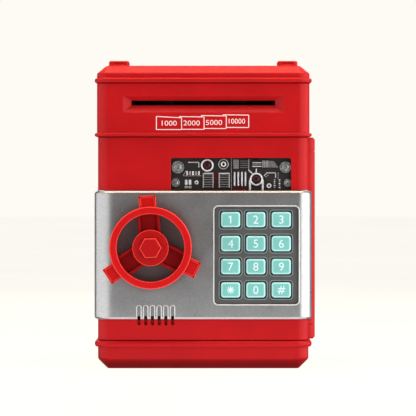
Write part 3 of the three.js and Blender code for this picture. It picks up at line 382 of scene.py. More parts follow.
def rounded(x0, x1, y0, y1, radii, steps=8):
    """Points of a rectangle with rounded corners, anticlockwise from the low-low corner."""
    if not isinstance(radii, (list, tuple)):
        radii = [radii] * 4
    centres = [(x0, y0, 1, 1, 180), (x1, y0, -1, 1, 270), (x1, y1, -1, -1, 0), (x0, y1, 1, -1, 90)]
    points = []
    for (cx, cy, sx, sy, start), radius in zip(centres, radii):
        if radius <= 0:
            points.append((cx, cy))
            continue
        for i in range(steps + 1):
            angle = math.radians(start + 90 * i / steps)
            x = cx + sx * radius + radius * math.cos(angle)
            y = cy + sy * radius + radius * math.sin(angle)
            points.append((x, y))
    return points


def arc(x, y, radius, start, end, steps=8):
    angles = [math.radians(start + (end - start) * i / steps) for i in range(steps + 1)]
    return [(x + radius * math.cos(a), y + radius * math.sin(a)) for a in angles]


def link(name, vertices, faces, material):
    mesh = bpy.data.meshes.new(name)
    mesh.from_pydata([tuple(c * MM for c in v) for v in vertices], [], faces)
    mesh.validate()
    mesh.update()
    obj = bpy.data.objects.new(name, mesh)
    obj.data.materials.append(MATERIALS[material] if isinstance(material, str) else material)
    bpy.context.scene.collection.objects.link(obj)
    return obj


def loft(name, loops, material="red", closed=False):
    """Skins loops of equally many points; the ends are capped unless the skin closes on itself."""
    count = len(loops[0])
    vertices = [p for loop in loops for p in loop]
    faces = []
    spans = len(loops) if closed else len(loops) - 1
    for k in range(spans):
        a, b = k * count, ((k + 1) % len(loops)) * count
        for i in range(count):
            j = (i + 1) % count
            faces.append((a + i, a + j, b + j, b + i))
    if not closed:
        last = (len(loops) - 1) * count
        faces.append(tuple(reversed(range(count))))
        faces.append(tuple(range(last, last + count)))
    obj = link(name, vertices, faces, material)
    repair_normals(obj)
    return obj


def repair_normals(obj):
    bm = bmesh.new()
    bm.from_mesh(obj.data)
    bmesh.ops.remove_doubles(bm, verts=bm.verts, dist=1e-7)
    bmesh.ops.recalc_face_normals(bm, faces=bm.faces)
    if bm.calc_volume(signed=True) < 0:
        bmesh.ops.reverse_faces(bm, faces=bm.faces)
    bm.to_mesh(obj.data)
    bm.free()


def sweep(name, half_x, half_y, corner, profile, closed=False):
    """Runs a profile of (outward offset, z) points round a rounded rectangle in plan."""
    loops = []
    for offset, z in profile:
        x, y = half_x + offset, half_y + offset
        radius = max(0.4, corner + offset)
        loops.append([(px, py, z) for px, py in rounded(-x, x, -y, y, radius, 10)])
    return loft(name, loops, "red", closed)


def facing_loops(outline_at, levels):
    """Loops in planes facing the front; levels are (inset, y) pairs."""
    return [[(x, y, z) for x, z in outline_at(inset)] for inset, y in levels]


def edge_levels(front, back, edge_front, edge_back, steps=3):
    """(inset, y) levels of a plate with rounded front and back edges."""
    levels = [(0, front)]
    if edge_front > 0:
        angles = [math.pi / 2 * i / steps for i in range(steps + 1)]
        levels = [(edge_front * (1 - math.sin(a)), front + edge_front * (1 - math.cos(a))) for a in angles]
    if edge_back <= 0:
        return levels + [(0, back)]
    angles = [math.pi / 2 * (1 - i / steps) for i in range(steps + 1)]
    return levels + [(edge_back * (1 - math.sin(a)), back - edge_back * (1 - math.cos(a))) for a in angles]


def plate(name, x0, x1, z0, z1, radius, front, back, edge=0.3, material="red", edge_back=0.0, steps=6):
    """A rounded plate facing the front with softened edges."""

    def outline(inset):
        r = max(0.05, radius - inset)
        return rounded(x0 + inset, x1 - inset, z0 + inset, z1 - inset, r, steps)

    return loft(name, facing_loops(outline, edge_levels(front, back, edge, edge_back)), material)


def flared_cutter(x0, x1, z0, z1, radius, front, back, flare=0.3, steps=8):
    """A cutter whose mouth at the front rounds the lip of the hole it leaves."""

    def outline(grow):
        return rounded(x0 - grow, x1 + grow, z0 - grow, z1 + grow, radius + grow, steps)

    levels = [(flare, front - 1)]
    for i in range(4):
        angle = math.pi / 2 * i / 3
        levels.append((flare * (1 - math.sin(angle)), front + flare * (1 - math.cos(angle))))
    levels.append((0, back))
    return loft("cutter", [[(x, y, z) for x, z in outline(g)] for g, y in levels])


def lathe(name, profile, place, axis="y", sides=48, material="red", closed=False):
    """Turns a profile of (radius, height) points round an axis through place."""
    loops = []
    for radius, height in profile:
        loop = []
        for i in range(sides):
            angle = 2 * math.pi * i / sides
            a, b = radius * math.cos(angle), radius * math.sin(angle)
            point = {"x": (height, a, b), "y": (a, height, b), "z": (a, b, height)}[axis]
            loop.append(tuple(p + c for p, c in zip(place, point)))
        loops.append(loop)
    return loft(name, loops, material, closed)


def box(name, x0, x1, y0, y1, z0, z1, material="red", edge=0.25):
    """A block with softened front and back edges."""
    return plate(name, x0, x1, z0, z1, max(edge, 0.06), y0, y1, edge, material, edge, 3)


def raw_box(x0, x1, y0, y1, z0, z1):
    loops = [[(x0, y0, z), (x1, y0, z), (x1, y1, z), (x0, y1, z)] for z in (z0, z1)]
    return loft("cutter", loops)


def apply_modifiers(obj):
    graph = bpy.context.evaluated_depsgraph_get()
    evaluated = obj.evaluated_get(graph)
    mesh = bpy.data.meshes.new_from_object(evaluated, preserve_all_data_layers=True, depsgraph=graph)
    old = obj.data
    obj.modifiers.clear()
    obj.data = mesh
    bpy.data.meshes.remove(old)


def boolean(obj, tools, operation="DIFFERENCE", solver="EXACT"):
    for tool in tools:
        modifier = obj.modifiers.new("boolean", "BOOLEAN")
        modifier.operation = operation
        modifier.object = tool
        modifier.solver = solver
    apply_modifiers(obj)
    for tool in tools:
        bpy.data.objects.remove(tool)
    return obj


def merge(obj, others):
    """Joins the other pieces' meshes into obj."""
    bpy.context.view_layer.update()
    chosen = [obj, *others]
    with bpy.context.temp_override(
        active_object=obj, object=obj, selected_objects=chosen, selected_editable_objects=chosen
    ):
        bpy.ops.object.join()
    return obj


def smooth(obj, angle=32.0):
    mesh = obj.data
    mesh.polygons.foreach_set("use_smooth", [True] * len(mesh.polygons))
    mesh.set_sharp_from_angle(angle=math.radians(angle))
    modifier = obj.modifiers.new("weighted", "WEIGHTED_NORMAL")
    modifier.keep_sharp = True
    apply_modifiers(obj)
    return obj


def paint(obj, material, chosen):
    """Gives a second material to the faces whose centre and normal pass the test."""
    obj.data.materials.append(MATERIALS[material])
    index = len(obj.data.materials) - 1
    for face in obj.data.polygons:
        if chosen(face.center / MM, face.normal):
            face.material_index = index


def install(obj, body, nodes=(), angle=32.0):
    smooth(obj, angle)
    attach(obj, body)
    if nodes:
        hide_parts(*nodes)
    return obj


def tube(name, path, radius, material, closed=False, sides=8, flatten=1.0):
    """A thin raised line that follows a path of (x, y, z) points in a plane facing the front."""
    loops = []
    count = len(path)
    for i, point in enumerate(path):
        before = Vector(path[(i - 1) % count] if closed or i else path[0])
        after = Vector(path[(i + 1) % count] if closed or i < count - 1 else path[-1])
        along = (after - before).normalized()
        outward = Vector((0, -1, 0))
        across = along.cross(outward).normalized()
        loop = []
        for k in range(sides):
            angle = 2 * math.pi * k / sides
            offset = across * (radius * math.cos(angle)) + outward * (radius * flatten * math.sin(angle))
            loop.append(tuple(Vector(point) + offset))
        loops.append(loop)
    return loft(name, loops, material, closed)


def front_ring(name, x0, x1, z0, z1, radius, y, half_width, height, material, steps=6):
    path = [(x, y, z) for x, z in rounded(x0, x1, z0, z1, radius, steps)]
    return tube(name, path, half_width, material, True, 8, height / half_width)


def text(name, body, centre, size, y, material, weight, depth, stretch=1.0):
    curve = bpy.data.curves.new(name, "FONT")
    curve.body = body
    curve.size = size * MM
    curve.align_x = "CENTER"
    curve.align_y = "CENTER"
    curve.offset = weight * MM
    curve.extrude = depth * MM
    curve.resolution_u = 4
    letters = bpy.data.objects.new(name, curve)
    bpy.context.scene.collection.objects.link(letters)
    bpy.context.view_layer.update()
    mesh = bpy.data.meshes.new_from_object(letters.evaluated_get(bpy.context.evaluated_depsgraph_get()))
    bpy.data.objects.remove(letters)
    obj = bpy.data.objects.new(name, mesh)
    mesh.materials.clear()
    mesh.materials.append(MATERIALS[material])
    xs = [v.co.x for v in mesh.vertices]
    ys = [v.co.y for v in mesh.vertices]
    middle = Vector(((min(xs) + max(xs)) / 2, (min(ys) + max(ys)) / 2, 0))
    place = Matrix.Translation(Vector((centre[0], y, centre[1])) * MM)
    upright = Matrix.Rotation(math.pi / 2, 4, "X")
    mesh.transform(place @ upright @ Matrix.Diagonal((stretch, 1, 1, 1)) @ Matrix.Translation(-middle))
    bpy.context.scene.collection.objects.link(obj)
    return obj


# ---------------------------------------------------------------- casing shells


def bead(z0, z1, proud, steps=8):
    """A rounded bead on the profile from z0 up to z1, standing proud by that much."""
    middle, half = (z0 + z1) / 2, (z1 - z0) / 2
    angles = [-math.pi / 2 + math.pi * i / steps for i in range(steps + 1)]
    return [(proud * math.cos(a) ** 0.7, middle + half * math.sin(a)) for a in angles]


def round_corner(a, b, c, radius, steps=4):
    """Replaces the profile corner b between a and c by an arc-like curve."""
    a, b, c = Vector(a), Vector(b), Vector(c)
    start = b + (a - b).normalized() * radius
    end = b + (c - b).normalized() * radius
    spots = [i / steps for i in range(steps + 1)]
    return [tuple((1 - t) ** 2 * start + 2 * t * (1 - t) * b + t * t * end) for t in spots]


def base_shell():
    top = BASE_HIGH[2]
    floor_low, floor_high = (-6.0, 0.0), (0.0, 5.9)
    outer = round_corner((-9, 0), floor_low, floor_high, 1.0)
    outer += round_corner(floor_low, floor_high, (0, 12), 1.0)
    outer += [(0.0, 12.7)] + bead(13.0, top, BAND_X - CASING_X)
    profile = outer + [(-0.6, top), (-WALL, top), (-WALL, 7.0), (-7.0, 2.5)]
    shell = sweep("base_shell", CASING_X, CASING_Y, CORNER, profile)
    well = [(4.2, -1), (4.2, 0), (3.7, 0.5), (3.7, 3)]
    boolean(shell, [lathe("cutter", well, (x, y, 0), "z", 28) for x, y in BASE_SCREWS])
    ribs = [box("rib", x - 0.8, x + 0.8, -40, 40, 2.3, 14) for x in (-30, 0, 30)]
    install(merge(shell, ribs), "casing", ["base_cover"])


def note_shell():
    low, high = HOUSING_LOW[2], HOUSING_HIGH[2]
    proud = BAND_X - HOUSING_X
    profile = bead(low, low + 2.3, proud) + [(0.0, low + 2.6), (0.0, high - 0.5), (-0.4, high)]
    profile += [(-WALL, high), (-WALL, low + 0.2), (-WALL + 0.3, low)]
    shell = sweep("note_shell", HOUSING_X, HOUSING_Y, CORNER, profile, closed=True)
    front = -HOUSING_Y
    mouth_block = raw_box(-50, 50, front + 1.5, -45.5, 150.5, 165.5)
    boolean(shell, [mouth_block], "UNION")

    def mouth(grow, t):
        x = 47.5 + (42.9 - 47.5) * t + grow
        low_z = 153.2 + (157.3 - 153.2) * t - grow
        high_z = 162.7 + (160.2 - 162.7) * t + grow
        return rounded(-x, x, low_z, high_z, 0.5, 4)

    levels = [(0.5, 0.0, -1.0), (0.5, 0.0, 0.0), (0.15, 0.0, 0.2), (0.0, 0.05, 0.6), (0.0, 0.97, 3.6)]
    levels += [(0.0, 1.0, 4.4), (0.0, 1.0, 8.0)]
    loops = [[(x, front + y, z) for x, z in mouth(grow, t)] for grow, t, y in levels]
    boolean(shell, [loft("cutter", loops)])
    install(shell, "casing", ["note_housing"])


def value_labels():
    """Four outlined cards in a fanned row; each later card is tucked behind the one before."""
    y = -HOUSING_Y - 0.02
    cards = [
        (1000, -27.9, -12.9, 142.8, 150.6, -20.2, 146.6),
        (2000, -14.2, 0.5, 142.9, 150.5, -6.9, 146.7),
        (5000, -1.1, 13.75, 143.4, 151.1, 6.4, 147.0),
        (10000, 11.9, 27.1, 144.0, 151.6, 20.1, 147.8),
    ]
    parts, hidden = [], None
    for value, x0, x1, z0, z1, text_x, text_z in cards:
        drop = 0.8 if value == 1000 else 0.2
        if hidden:
            seam, ledge = hidden
            path = [(x0, ledge), (x0, z1), (x1, z1 - drop), (x1, z0), (seam, z0 + 0.05)]
        else:
            path = [(x0, z0), (x0, z1), (x1, z1 - drop), (x1, z0), (x0, z0)]
        for (ax, az), (bx, bz) in zip(path, path[1:]):
            ends = [(ax, y, az), ((ax + bx) / 2, y, (az + bz) / 2), (bx, y, bz)]
            parts.append(tube("card_line", ends, 0.25, "pink_print", False, 6, 0.3))
        hidden = (x1, z1 - drop)
        stretch = 1.0 if value == 10000 else 1.18
        centre = (text_x, text_z)
        parts.append(text(f"value_{value}", str(value), centre, 4.3, y, "pink_print", 0.0, 0.08, stretch))
    labels = merge(parts[0], parts[1:])
    labels.name = "value_labels"
    install(labels, "casing")


def top_shell():
    low = COVER_BAND_LOW
    proud = BAND_X - HOUSING_X
    lip, roof = 176.5, ROOF
    profile = [(-WALL - 4.5, roof - WALL), (-WALL, 174.5), (-WALL, low)]
    profile += bead(low, low + 2.9, proud)
    profile += [(0.0, low + 3.2)]
    profile += round_corner((0, 174), (0, lip), (-5.9, roof), 0.8)
    profile += round_corner((0, lip), (-5.9, roof), (-20, roof), 1.4)
    profile += [(-9.0, roof)]
    shell = sweep("top_shell", HOUSING_X, HOUSING_Y, CORNER, profile)
    dish = plan_prism(
        "cutter",
        lambda g: rounded(-19 - g, 19 + g, 19 - g, 29 + g, 3 + g, 6),
        [(0.5, roof + 1), (0.5, roof), (0.1, roof - 0.2), (0.0, roof - 0.8)],
    )
    slot = plan_prism(
        "cutter",
        lambda g: rounded(-15 - g, 15 + g, 22.2 - g, 25.8 + g, 1.2 + g, 6),
        [(0.5, roof), (0.5, roof - 0.8), (0.1, roof - 1.0), (0, roof - 1.3), (0, roof - 5)],
    )
    boolean(shell, [dish, slot])
    clips = [box("clip", x0, x1, -12, 12, 165.8, 172) for x0, x1 in ((-60.8, -59.3), (59.3, 60.8))]
    merge(shell, clips)
    install(shell, "casing", ["top_cover"])
    for i, (sx, sy) in enumerate([(-1, -1), (1, -1), (-1, 1), (1, 1)]):
        corner_pad(f"roof_pad_{i + 1}", sx * 50.4, sy * 38.6)


def corner_pad(name, x, y):
    half, top = 6.1, ROOF + PAD_HEIGHT

    def ring(inset, z, radius):
        x0, x1 = x - half + inset, x + half - inset
        y0, y1 = y - half + inset, y + half - inset
        return [(px, py, z) for px, py in rounded(x0, x1, y0, y1, radius, 5)]

    levels = [(-0.5, ROOF - 0.3, 2.4), (-0.15, ROOF + 0.15, 2.2), (0, ROOF + 0.6, 2.1)]
    levels += [(0, top - 1.0, 2.0), (0.12, top - 0.55, 1.9), (0.42, top - 0.18, 1.7), (0.95, top, 1.4)]
    levels += [(2.6, top, 0.9), (2.8, top - 0.25, 0.8)]
    pad = loft(name, [ring(*level) for level in levels])
    side = math.copysign(1, y)
    mouth = [(0.3, -1.0), (0.3, 0.0), (0.1, 0.12), (0.0, 0.45)]
    loops = []
    for grow, depth in mouth:
        z0, z1 = ROOF + 0.7 - grow, top - 0.75 + grow
        outline = rounded(x - 3.1 - grow, x + 3.1 + grow, z0, z1, 0.6 + grow, 4)
        loops.append([(px, y + side * (half - depth), pz) for px, pz in outline])
    boolean(pad, [loft("cutter", loops)])
    install(pad, "casing")


def plan_prism(name, outline_at, levels, material="red"):
    """Raises an outline in plan; levels are (inset, z) pairs."""
    return loft(name, [[(x, y, z) for x, y in outline_at(inset)] for inset, z in levels], material)


def end_levels(low, high, edge, steps=3):
    """(inset, z) levels of a prism with rounded lower and upper edges."""
    angles = [math.pi / 2 * i / steps for i in range(steps + 1)]
    rise = [(edge * (1 - math.sin(a)), low + edge * (1 - math.cos(a))) for a in angles]
    fall = [(i, low + high - z) for i, z in reversed(rise)]
    return rise + fall


def barrel(name, low, high, taper_low=0.0, taper_high=0.0):
    """A hinge barrel with lightly rounded ends; a taper rounds an end further."""
    r = HINGE_RADIUS
    profile = [(1.6, low), (r - 0.2 - taper_low, low), (r, low + 0.25 + taper_low)]
    profile += [(r, high - 0.25 - taper_high), (r - 0.2 - taper_high, high), (1.6, high)]
    return lathe(name, profile, (HINGE[0], HINGE[1], 0), "z", 40, closed=True)


def body_shell():
    low, high = CASING_LOW[2], CASING_HIGH[2]
    front, back, x = CASING_LOW[1], CASING_Y, CASING_X

    def outline(inset):
        corner, hollow = CORNER - inset, CORNER - WALL
        outer = rounded(-x + inset, x - inset, front, back - inset, [0, 0, corner, corner], 10)
        inner = rounded(-x + WALL, x - WALL, front, back - WALL, [0, 0, hollow, hollow], 10)
        start = outer[1:] + outer[:1]
        return start + list(reversed(inner[1:] + inner[:1]))

    shell = plan_prism("body_shell", outline, end_levels(low, high, 0.35))
    relief = raw_box(x - 5.5, x + 6, front - 1, HINGE[1] + 5.3, HINGE_LOW, HINGE_HIGH)
    (x0, _, z0), (x1, _, z1) = extent("battery_hatch")
    hatch = raw_box(x0 - 0.3, x1 + 0.3, back - 4, back + 1, z0 - 0.3, z1 + 0.3)
    boolean(shell, [relief, hatch])
    parts = [
        box("floor", 1 - x, x - 1, front + 0.1, back - 1, low + 0.1, low + WALL, edge=0.2),
        box("sill", 1 - x, x - 1.5, front, front + WALL, low + 0.05, low + 4.8, edge=0.3),
        box("lintel", 1 - x, x - 1.5, front, front + WALL, high - 5.3, high - 0.05, edge=0.3),
        barrel("knuckle_low", low + 0.3, HINGE_LOW, taper_low=0.9),
        barrel("knuckle_high", HINGE_HIGH, high, taper_high=0.9),
        raw_box(x - WEB_WIDTH, x, HINGE[1] + PIN_CLEAR, HINGE[1] + WEB_BACK, low + 0.3, HINGE_LOW),
        raw_box(x - WEB_WIDTH, x, HINGE[1] + PIN_CLEAR, HINGE[1] + WEB_BACK, HINGE_HIGH, high),
    ]
    post = [(1.6, low + 1), (3.4, low + 1), (3.4, low + 8.2), (3.1, low + 8.5), (1.6, low + 8.5)]
    parts += [lathe("post", post, (sx, sy, 0), "z", 24, closed=True) for sx, sy in BASE_SCREWS]
    install(merge(shell, parts), "casing", ["main_casing"])


# ---------------------------------------------------------------- door


def shaft_cutter(front):
    """The bore that the handwheel's shaft turns in, cut back from a front face."""
    profile = [(SHAFT_HOLE, front - 1), (SHAFT_HOLE, front + 4)]
    return lathe("cutter", profile, (WHEEL_CENTRE[0], 0, WHEEL_CENTRE[1]), "y", 24)


def door_shell():
    low, high = DOOR_LOW[2], DOOR_HIGH[2]
    front, back, x = DOOR_LOW[1], -43.3, CASING_X

    def outline(inset):
        corner = CORNER - inset
        return rounded(-x + inset, x - inset, front + inset, back, [corner, corner, 0, 0], 10)

    shell = plan_prism("door_shell", outline, end_levels(low, high, 0.5))
    hollow = [CORNER - WALL, CORNER - WALL, 0, 0]
    pocket = plan_prism(
        "cutter",
        lambda inset: rounded(WALL - x, x - WALL, front + WALL, back + 3, hollow, 8),
        [(0, low + WALL), (0, high - WALL)],
    )
    tools = [pocket, flared_cutter(*WINDOW, 1.5, front, front + 4, 0.35)]
    tools.append(raw_box(8, 55, front - 1, front + 4, 40, 96))
    tools.append(shaft_cutter(front))
    for sx in SLOT_XS:
        left, right = sx - SLOT_HALF, sx + SLOT_HALF
        tools.append(flared_cutter(left, right, SLOT_LOW, SLOT_HIGH, 0.95, front, front + 2.2, 0.2, 5))
        bottom, top = FASCIA_LOW[2] - 0.5, SLOT_HIGH - 1
        tools.append(raw_box(left + 0.15, right - 0.15, front + 1, front + 4, bottom, top))
    boolean(shell, tools)
    parts = [barrel("door_barrel", HINGE_LOW + 0.1, HINGE_HIGH - 0.1)]
    web = raw_box(x - WEB_WIDTH, x, back - 2, HINGE[1] - PIN_CLEAR, HINGE_LOW + 0.3, HINGE_HIGH - 0.3)
    parts.append(web)
    boss = [(1.4, front + 2), (2.4, front + 2), (2.4, -35.7), (2.2, -35.5), (1.4, -35.5)]
    for n in range(1, 5):
        a, b = extent(f"door_screw_{n}")
        place = ((a[0] + b[0]) / 2, 0, (a[2] + b[2]) / 2)
        parts.append(lathe("boss", boss, place, "y", 20, closed=True))
    install(merge(shell, parts), "door", ["door_panel"])


def quarter(x, y, across, deep, start, steps):
    """A quarter of an ellipse about a point, anticlockwise."""
    angles = [math.radians(start + 90 * i / steps) for i in range(steps + 1)]
    return [(x + across * math.cos(a), y + deep * math.sin(a)) for a in angles]


def slot_cutter(x, front, low):
    """A shallow round-topped recess that goes right through the fascia at its lower end."""
    half = SLOT_HALF
    recess = rounded(x - half, x + half, low - 2, SLOT_HIGH, [0, 0, 0.95, 0.95], 6)
    opening = rounded(x - half + 0.15, x + half - 0.15, low - 1.5, SLOT_THROUGH, [0, 0, 0.2, 0.2], 6)
    levels = [(recess, front - 1), (recess, front + 1.2), (opening, front + 1.2), (opening, front + 4)]
    return loft("cutter", [[(px, y, pz) for px, pz in outline] for outline, y in levels])


def fascia_shell():
    low, high = FASCIA_LOW[2], FASCIA_HIGH[2]
    x, front, inside, side = FASCIA_HIGH[0], FASCIA_FRONT, 63.3, -44.5
    corner, sweep, hollow_corner = 8.5, 13.0, CORNER - (FASCIA_HIGH[0] - 63.3)

    def c_shape(inset):
        radius = corner - inset * 0.5
        level = front + inset + radius
        left = quarter(-x + inset + sweep, level, sweep, radius, 180, 18)
        right = quarter(x - inset - radius, level, radius, radius, 270, 12)
        outer = left + right + [(x - inset, side), (-x + inset, side)]
        inner = rounded(-inside, inside, -51.3, side, [hollow_corner, hollow_corner, 0, 0], 12)
        return outer[-1:] + outer[:-1] + list(reversed(inner[-1:] + inner[:-1]))

    rise = end_levels(low, high, 1.5, 5)[:6]
    fall = end_levels(low, high, 2.5, 7)[8:]
    shell = plan_prism("fascia_shell", c_shape, rise + fall, "silver")
    x0, x1, z0, z1 = KEYPAD
    tools = [flared_cutter(x0 + 0.8, x1 - 0.8, z0 + 0.8, z1 - 0.8, 2.2, front, -50.5, 0.2)]
    tools.append(shaft_cutter(front))
    tools += [slot_cutter(sx, front, low) for sx in SLOT_XS]
    # The exact solver loses this shell when a slot cuts right through it; the manifold one keeps it.
    boolean(shell, tools, solver="MANIFOLD")
    # The lower rounded edge gets the paler silver: a painted highlight.
    paint(shell, "pale_silver_and_highlight", lambda centre, normal: normal.z < -0.25 and centre.y < front + 2)
    install(shell, "door", ["silver_fascia"])
    edges = (x0 + 0.45, x1 - 0.45, z0 + 0.45, z1 - 0.45)
    # The raised rim round the keypad is paler than the silver: painted highlight.
    rim = front_ring("keypad_rim", *edges, 2.7, front, 0.4, 0.4, "rim", 8)
    install(rim, "door", angle=80)
    top, half = SLOT_HIGH - SLOT_HALF, SLOT_HALF + 0.3
    for i, sx in enumerate(SLOT_XS):
        bend = [(px, front, pz) for px, pz in arc(sx, top, half, 0, 180, 10)]
        path = [(sx + half, front, low + 1.2), *bend, (sx - half, front, low + 1.2)]
        rim = tube(f"slot_rim_{i + 1}", path, 0.3, "pale_silver_and_highlight", False, 8, 0.7)
        install(rim, "door", angle=80)


# ---------------------------------------------------------------- keypad


def keypad():
    x0, x1, z0, z1 = KEYPAD
    face = (x0 + 1.0, x1 - 1.0, z0 + 1.0, z1 - 1.0)
    bezel = plate("keypad_plate", *face, 2.0, KEY_PLATE, -51.35, 0.15, "plate")
    tools, rings, holes = [], [], []
    for name in KEY_NAMES:
        a, b = extent("key_" + name)
        x, z = (a[0] + b[0]) / 2, (a[2] + b[2]) / 2
        w, h = (b[0] - a[0]) / 2 - 1, (b[2] - a[2]) / 2 - 1
        gap = (x - w - 0.6, x + w + 0.6, z - h - 0.6, z + h + 0.6)
        tools.append(flared_cutter(*gap, 1.6, KEY_PLATE, -50, 0.1, 5))
        line = (x - w - 1.05, x + w + 1.05, z - h - 1.05, z + h + 1.05)
        rings.append(front_ring("key_ring", *line, 2.0, KEY_PLATE, 0.25, 0.2, "key_line"))
        holes.append((a[0] + 0.75, b[0] - 0.75, -53, -50, a[2] + 0.75, b[2] - 0.75))
        key_cap(name, x, z, w, h, a[1])
    boolean(bezel, tools)
    install(bezel, "door", ["keypad_bezel"])
    ring = merge(rings[0], rings[1:])
    ring.name = "key_outlines"
    install(ring, "door", angle=80)
    # A thin black sheet behind the gaps round the keys: painted shade seen through them.
    well = plate("key_gap_shade_sheet", 8.2, 54.8, 40.2, 95.8, 0.5, -51.3, -51.15, 0.05, "black")
    boolean(well, [raw_box(*hole) for hole in holes])
    install(well, "door")


def key_cap(name, x, z, w, h, front):
    """A pillowed key whose sloping shoulder is painted paler as a highlight, and a dark foot behind the
    plate.
    """

    def outline(inset):
        radius = max(0.15, 1.7 - inset * 0.7)
        return rounded(x - w + inset, x + w - inset, z - h + inset, z + h - inset, radius, 6)

    crown = [(3.4, 0), (1.8, 0.02), (0.95, 0.1), (0.45, 0.3), (0.15, 0.65), (0.0, 1.2), (0.0, 2.9)]
    cap = loft("cap_" + name, facing_loops(outline, [(i, front + d) for i, d in crown]), "mint")
    paint(cap, "mint_highlight", lambda centre, normal: -0.99 < normal.y < -0.25)
    flange = [(0.1, 2.85), (0.1, 3.2), (-0.95, 3.3), (-0.95, 4.15), (0.5, 4.2)]
    foot = loft("foot", facing_loops(outline, [(i, front + d) for i, d in flange]), "black")
    rod = [(2, front + 4.0), (2, front + 5.9), (1.8, front + 6.1)]
    stem = lathe("stem", rod, (x, 0, z), "y", 16, "black")
    install(merge(cap, [foot, stem]), "key_" + name, ["key_" + name], angle=45)
    install(key_mark(name, x, z, front - 0.05), "key_" + name)


def flat_mark(name, outline, y):
    """A thin printed shape; its outline is a list of (x, z) points."""
    return loft(name, [[(px, level, pz) for px, pz in outline] for level in (y, y + 0.15)], "print")


def bar_mark(x, z, y, length, width, angle):
    """One flat stroke of a mark, turned about its middle."""
    c, s = math.cos(angle), math.sin(angle)
    a, b = length / 2, width / 2
    corners = [(-a, -b), (a, -b), (a, b), (-a, b)]
    return flat_mark("stroke", [(x + a * c - b * s, z + a * s + b * c) for a, b in corners], y)


def key_mark(name, x, z, y):
    if name == "1":
        one = [(-0.35, -2.3), (0.45, -2.3), (0.45, 2.3), (-0.25, 2.3), (-1.3, 1.5)]
        one += [(-0.95, 0.95), (-0.35, 1.3)]
        return flat_mark("mark_1", [(x + a, z + b) for a, b in one], y)
    if name == "star":
        strokes = [bar_mark(x, z, y - 0.01 * k, 4.4, 0.62, math.pi / 4 * k) for k in range(4)]
    elif name == "hash":
        strokes = [bar_mark(x + dx, z, y, 4.9, 0.6, math.radians(74)) for dx in (-0.75, 0.85)]
        strokes += [bar_mark(x + dz * 0.25, z + dz, y - 0.01, 4.3, 0.6, 0) for dz in (-0.75, 0.8)]
    else:
        return text("mark_" + name, name, (x, z), 7.0, y + 0.05, "print", 0.03, 0.1)
    return merge(strokes[0], strokes[1:])


# ---------------------------------------------------------------- moulded circuit picture


def raised(x0, x1, rise, z0, z1, material, edge):
    """A block that stands proud of the picture's plate."""
    y = RELIEF_FACE
    return box("relief_block", x0, x1, y - rise, y + RELIEF_FOOT, z0, z1, material, edge)


def upright_bar(x, half, rise, z0, z1, material, edge):
    """A raised block that stands about x."""
    return raised(x - half, x + half, rise, z0, z1, material, edge)


def cross_bar(x0, x1, rise, z, half, material, edge):
    """A raised block that lies across at height z."""
    return raised(x0, x1, rise, z - half, z + half, material, edge)


def relief_disc(x, z, radius):
    """A screw head in the moulding: bright rim, groove, and a domed middle with a small well."""
    shape = [(1.0, 0.6), (1.0, -0.7), (0.92, -1.2), (0.8, -1.25), (0.72, -0.75), (0.66, -0.75)]
    shape += [(0.58, -1.2), (0.4, -1.5), (0.3, -1.5), (0.22, -0.9), (0.04, -0.9)]
    profile = [(radius * r, RELIEF_FACE + d) for r, d in shape]
    return lathe("relief_disc", profile, (x, 0, z), "y", 28, "worn_chrome")


def relief_ring(x, z, outer, inner, height, material="chrome"):
    middle, half, y = (outer + inner) / 2, (outer - inner) / 2, RELIEF_FACE
    angles = [math.pi * i / 8 for i in range(9)]
    profile = [(middle + half * math.cos(a), y - height * math.sin(a)) for a in angles]
    profile += [(inner, y + 0.4), (outer, y + 0.4)]
    return lathe("relief_ring", profile, (x, 0, z), "y", 36, material, closed=True)


def heat_sink(x0, x1, z0, z1, fins=6):
    parts = [raised(x0, x1, 0.5, z0, z1, "relief", 0.15)]
    parts += [upright_bar(x, 0.35, 1.3, z0, z1, "soft_chrome", 0.15) for x in (x0 + 0.35, x1 - 0.35)]
    parts.append(raised(x0, x1, 1.3, z1 - 0.6, z1, "chrome", 0.12))
    for i in range(fins):
        z = z0 + 0.7 + (z1 - z0 - 1.9) * i / (fins - 1)
        parts.append(cross_bar(x0 + 0.6, x1 - 0.6, 1.1, z, 0.22, "fin", 0.1))
    return parts


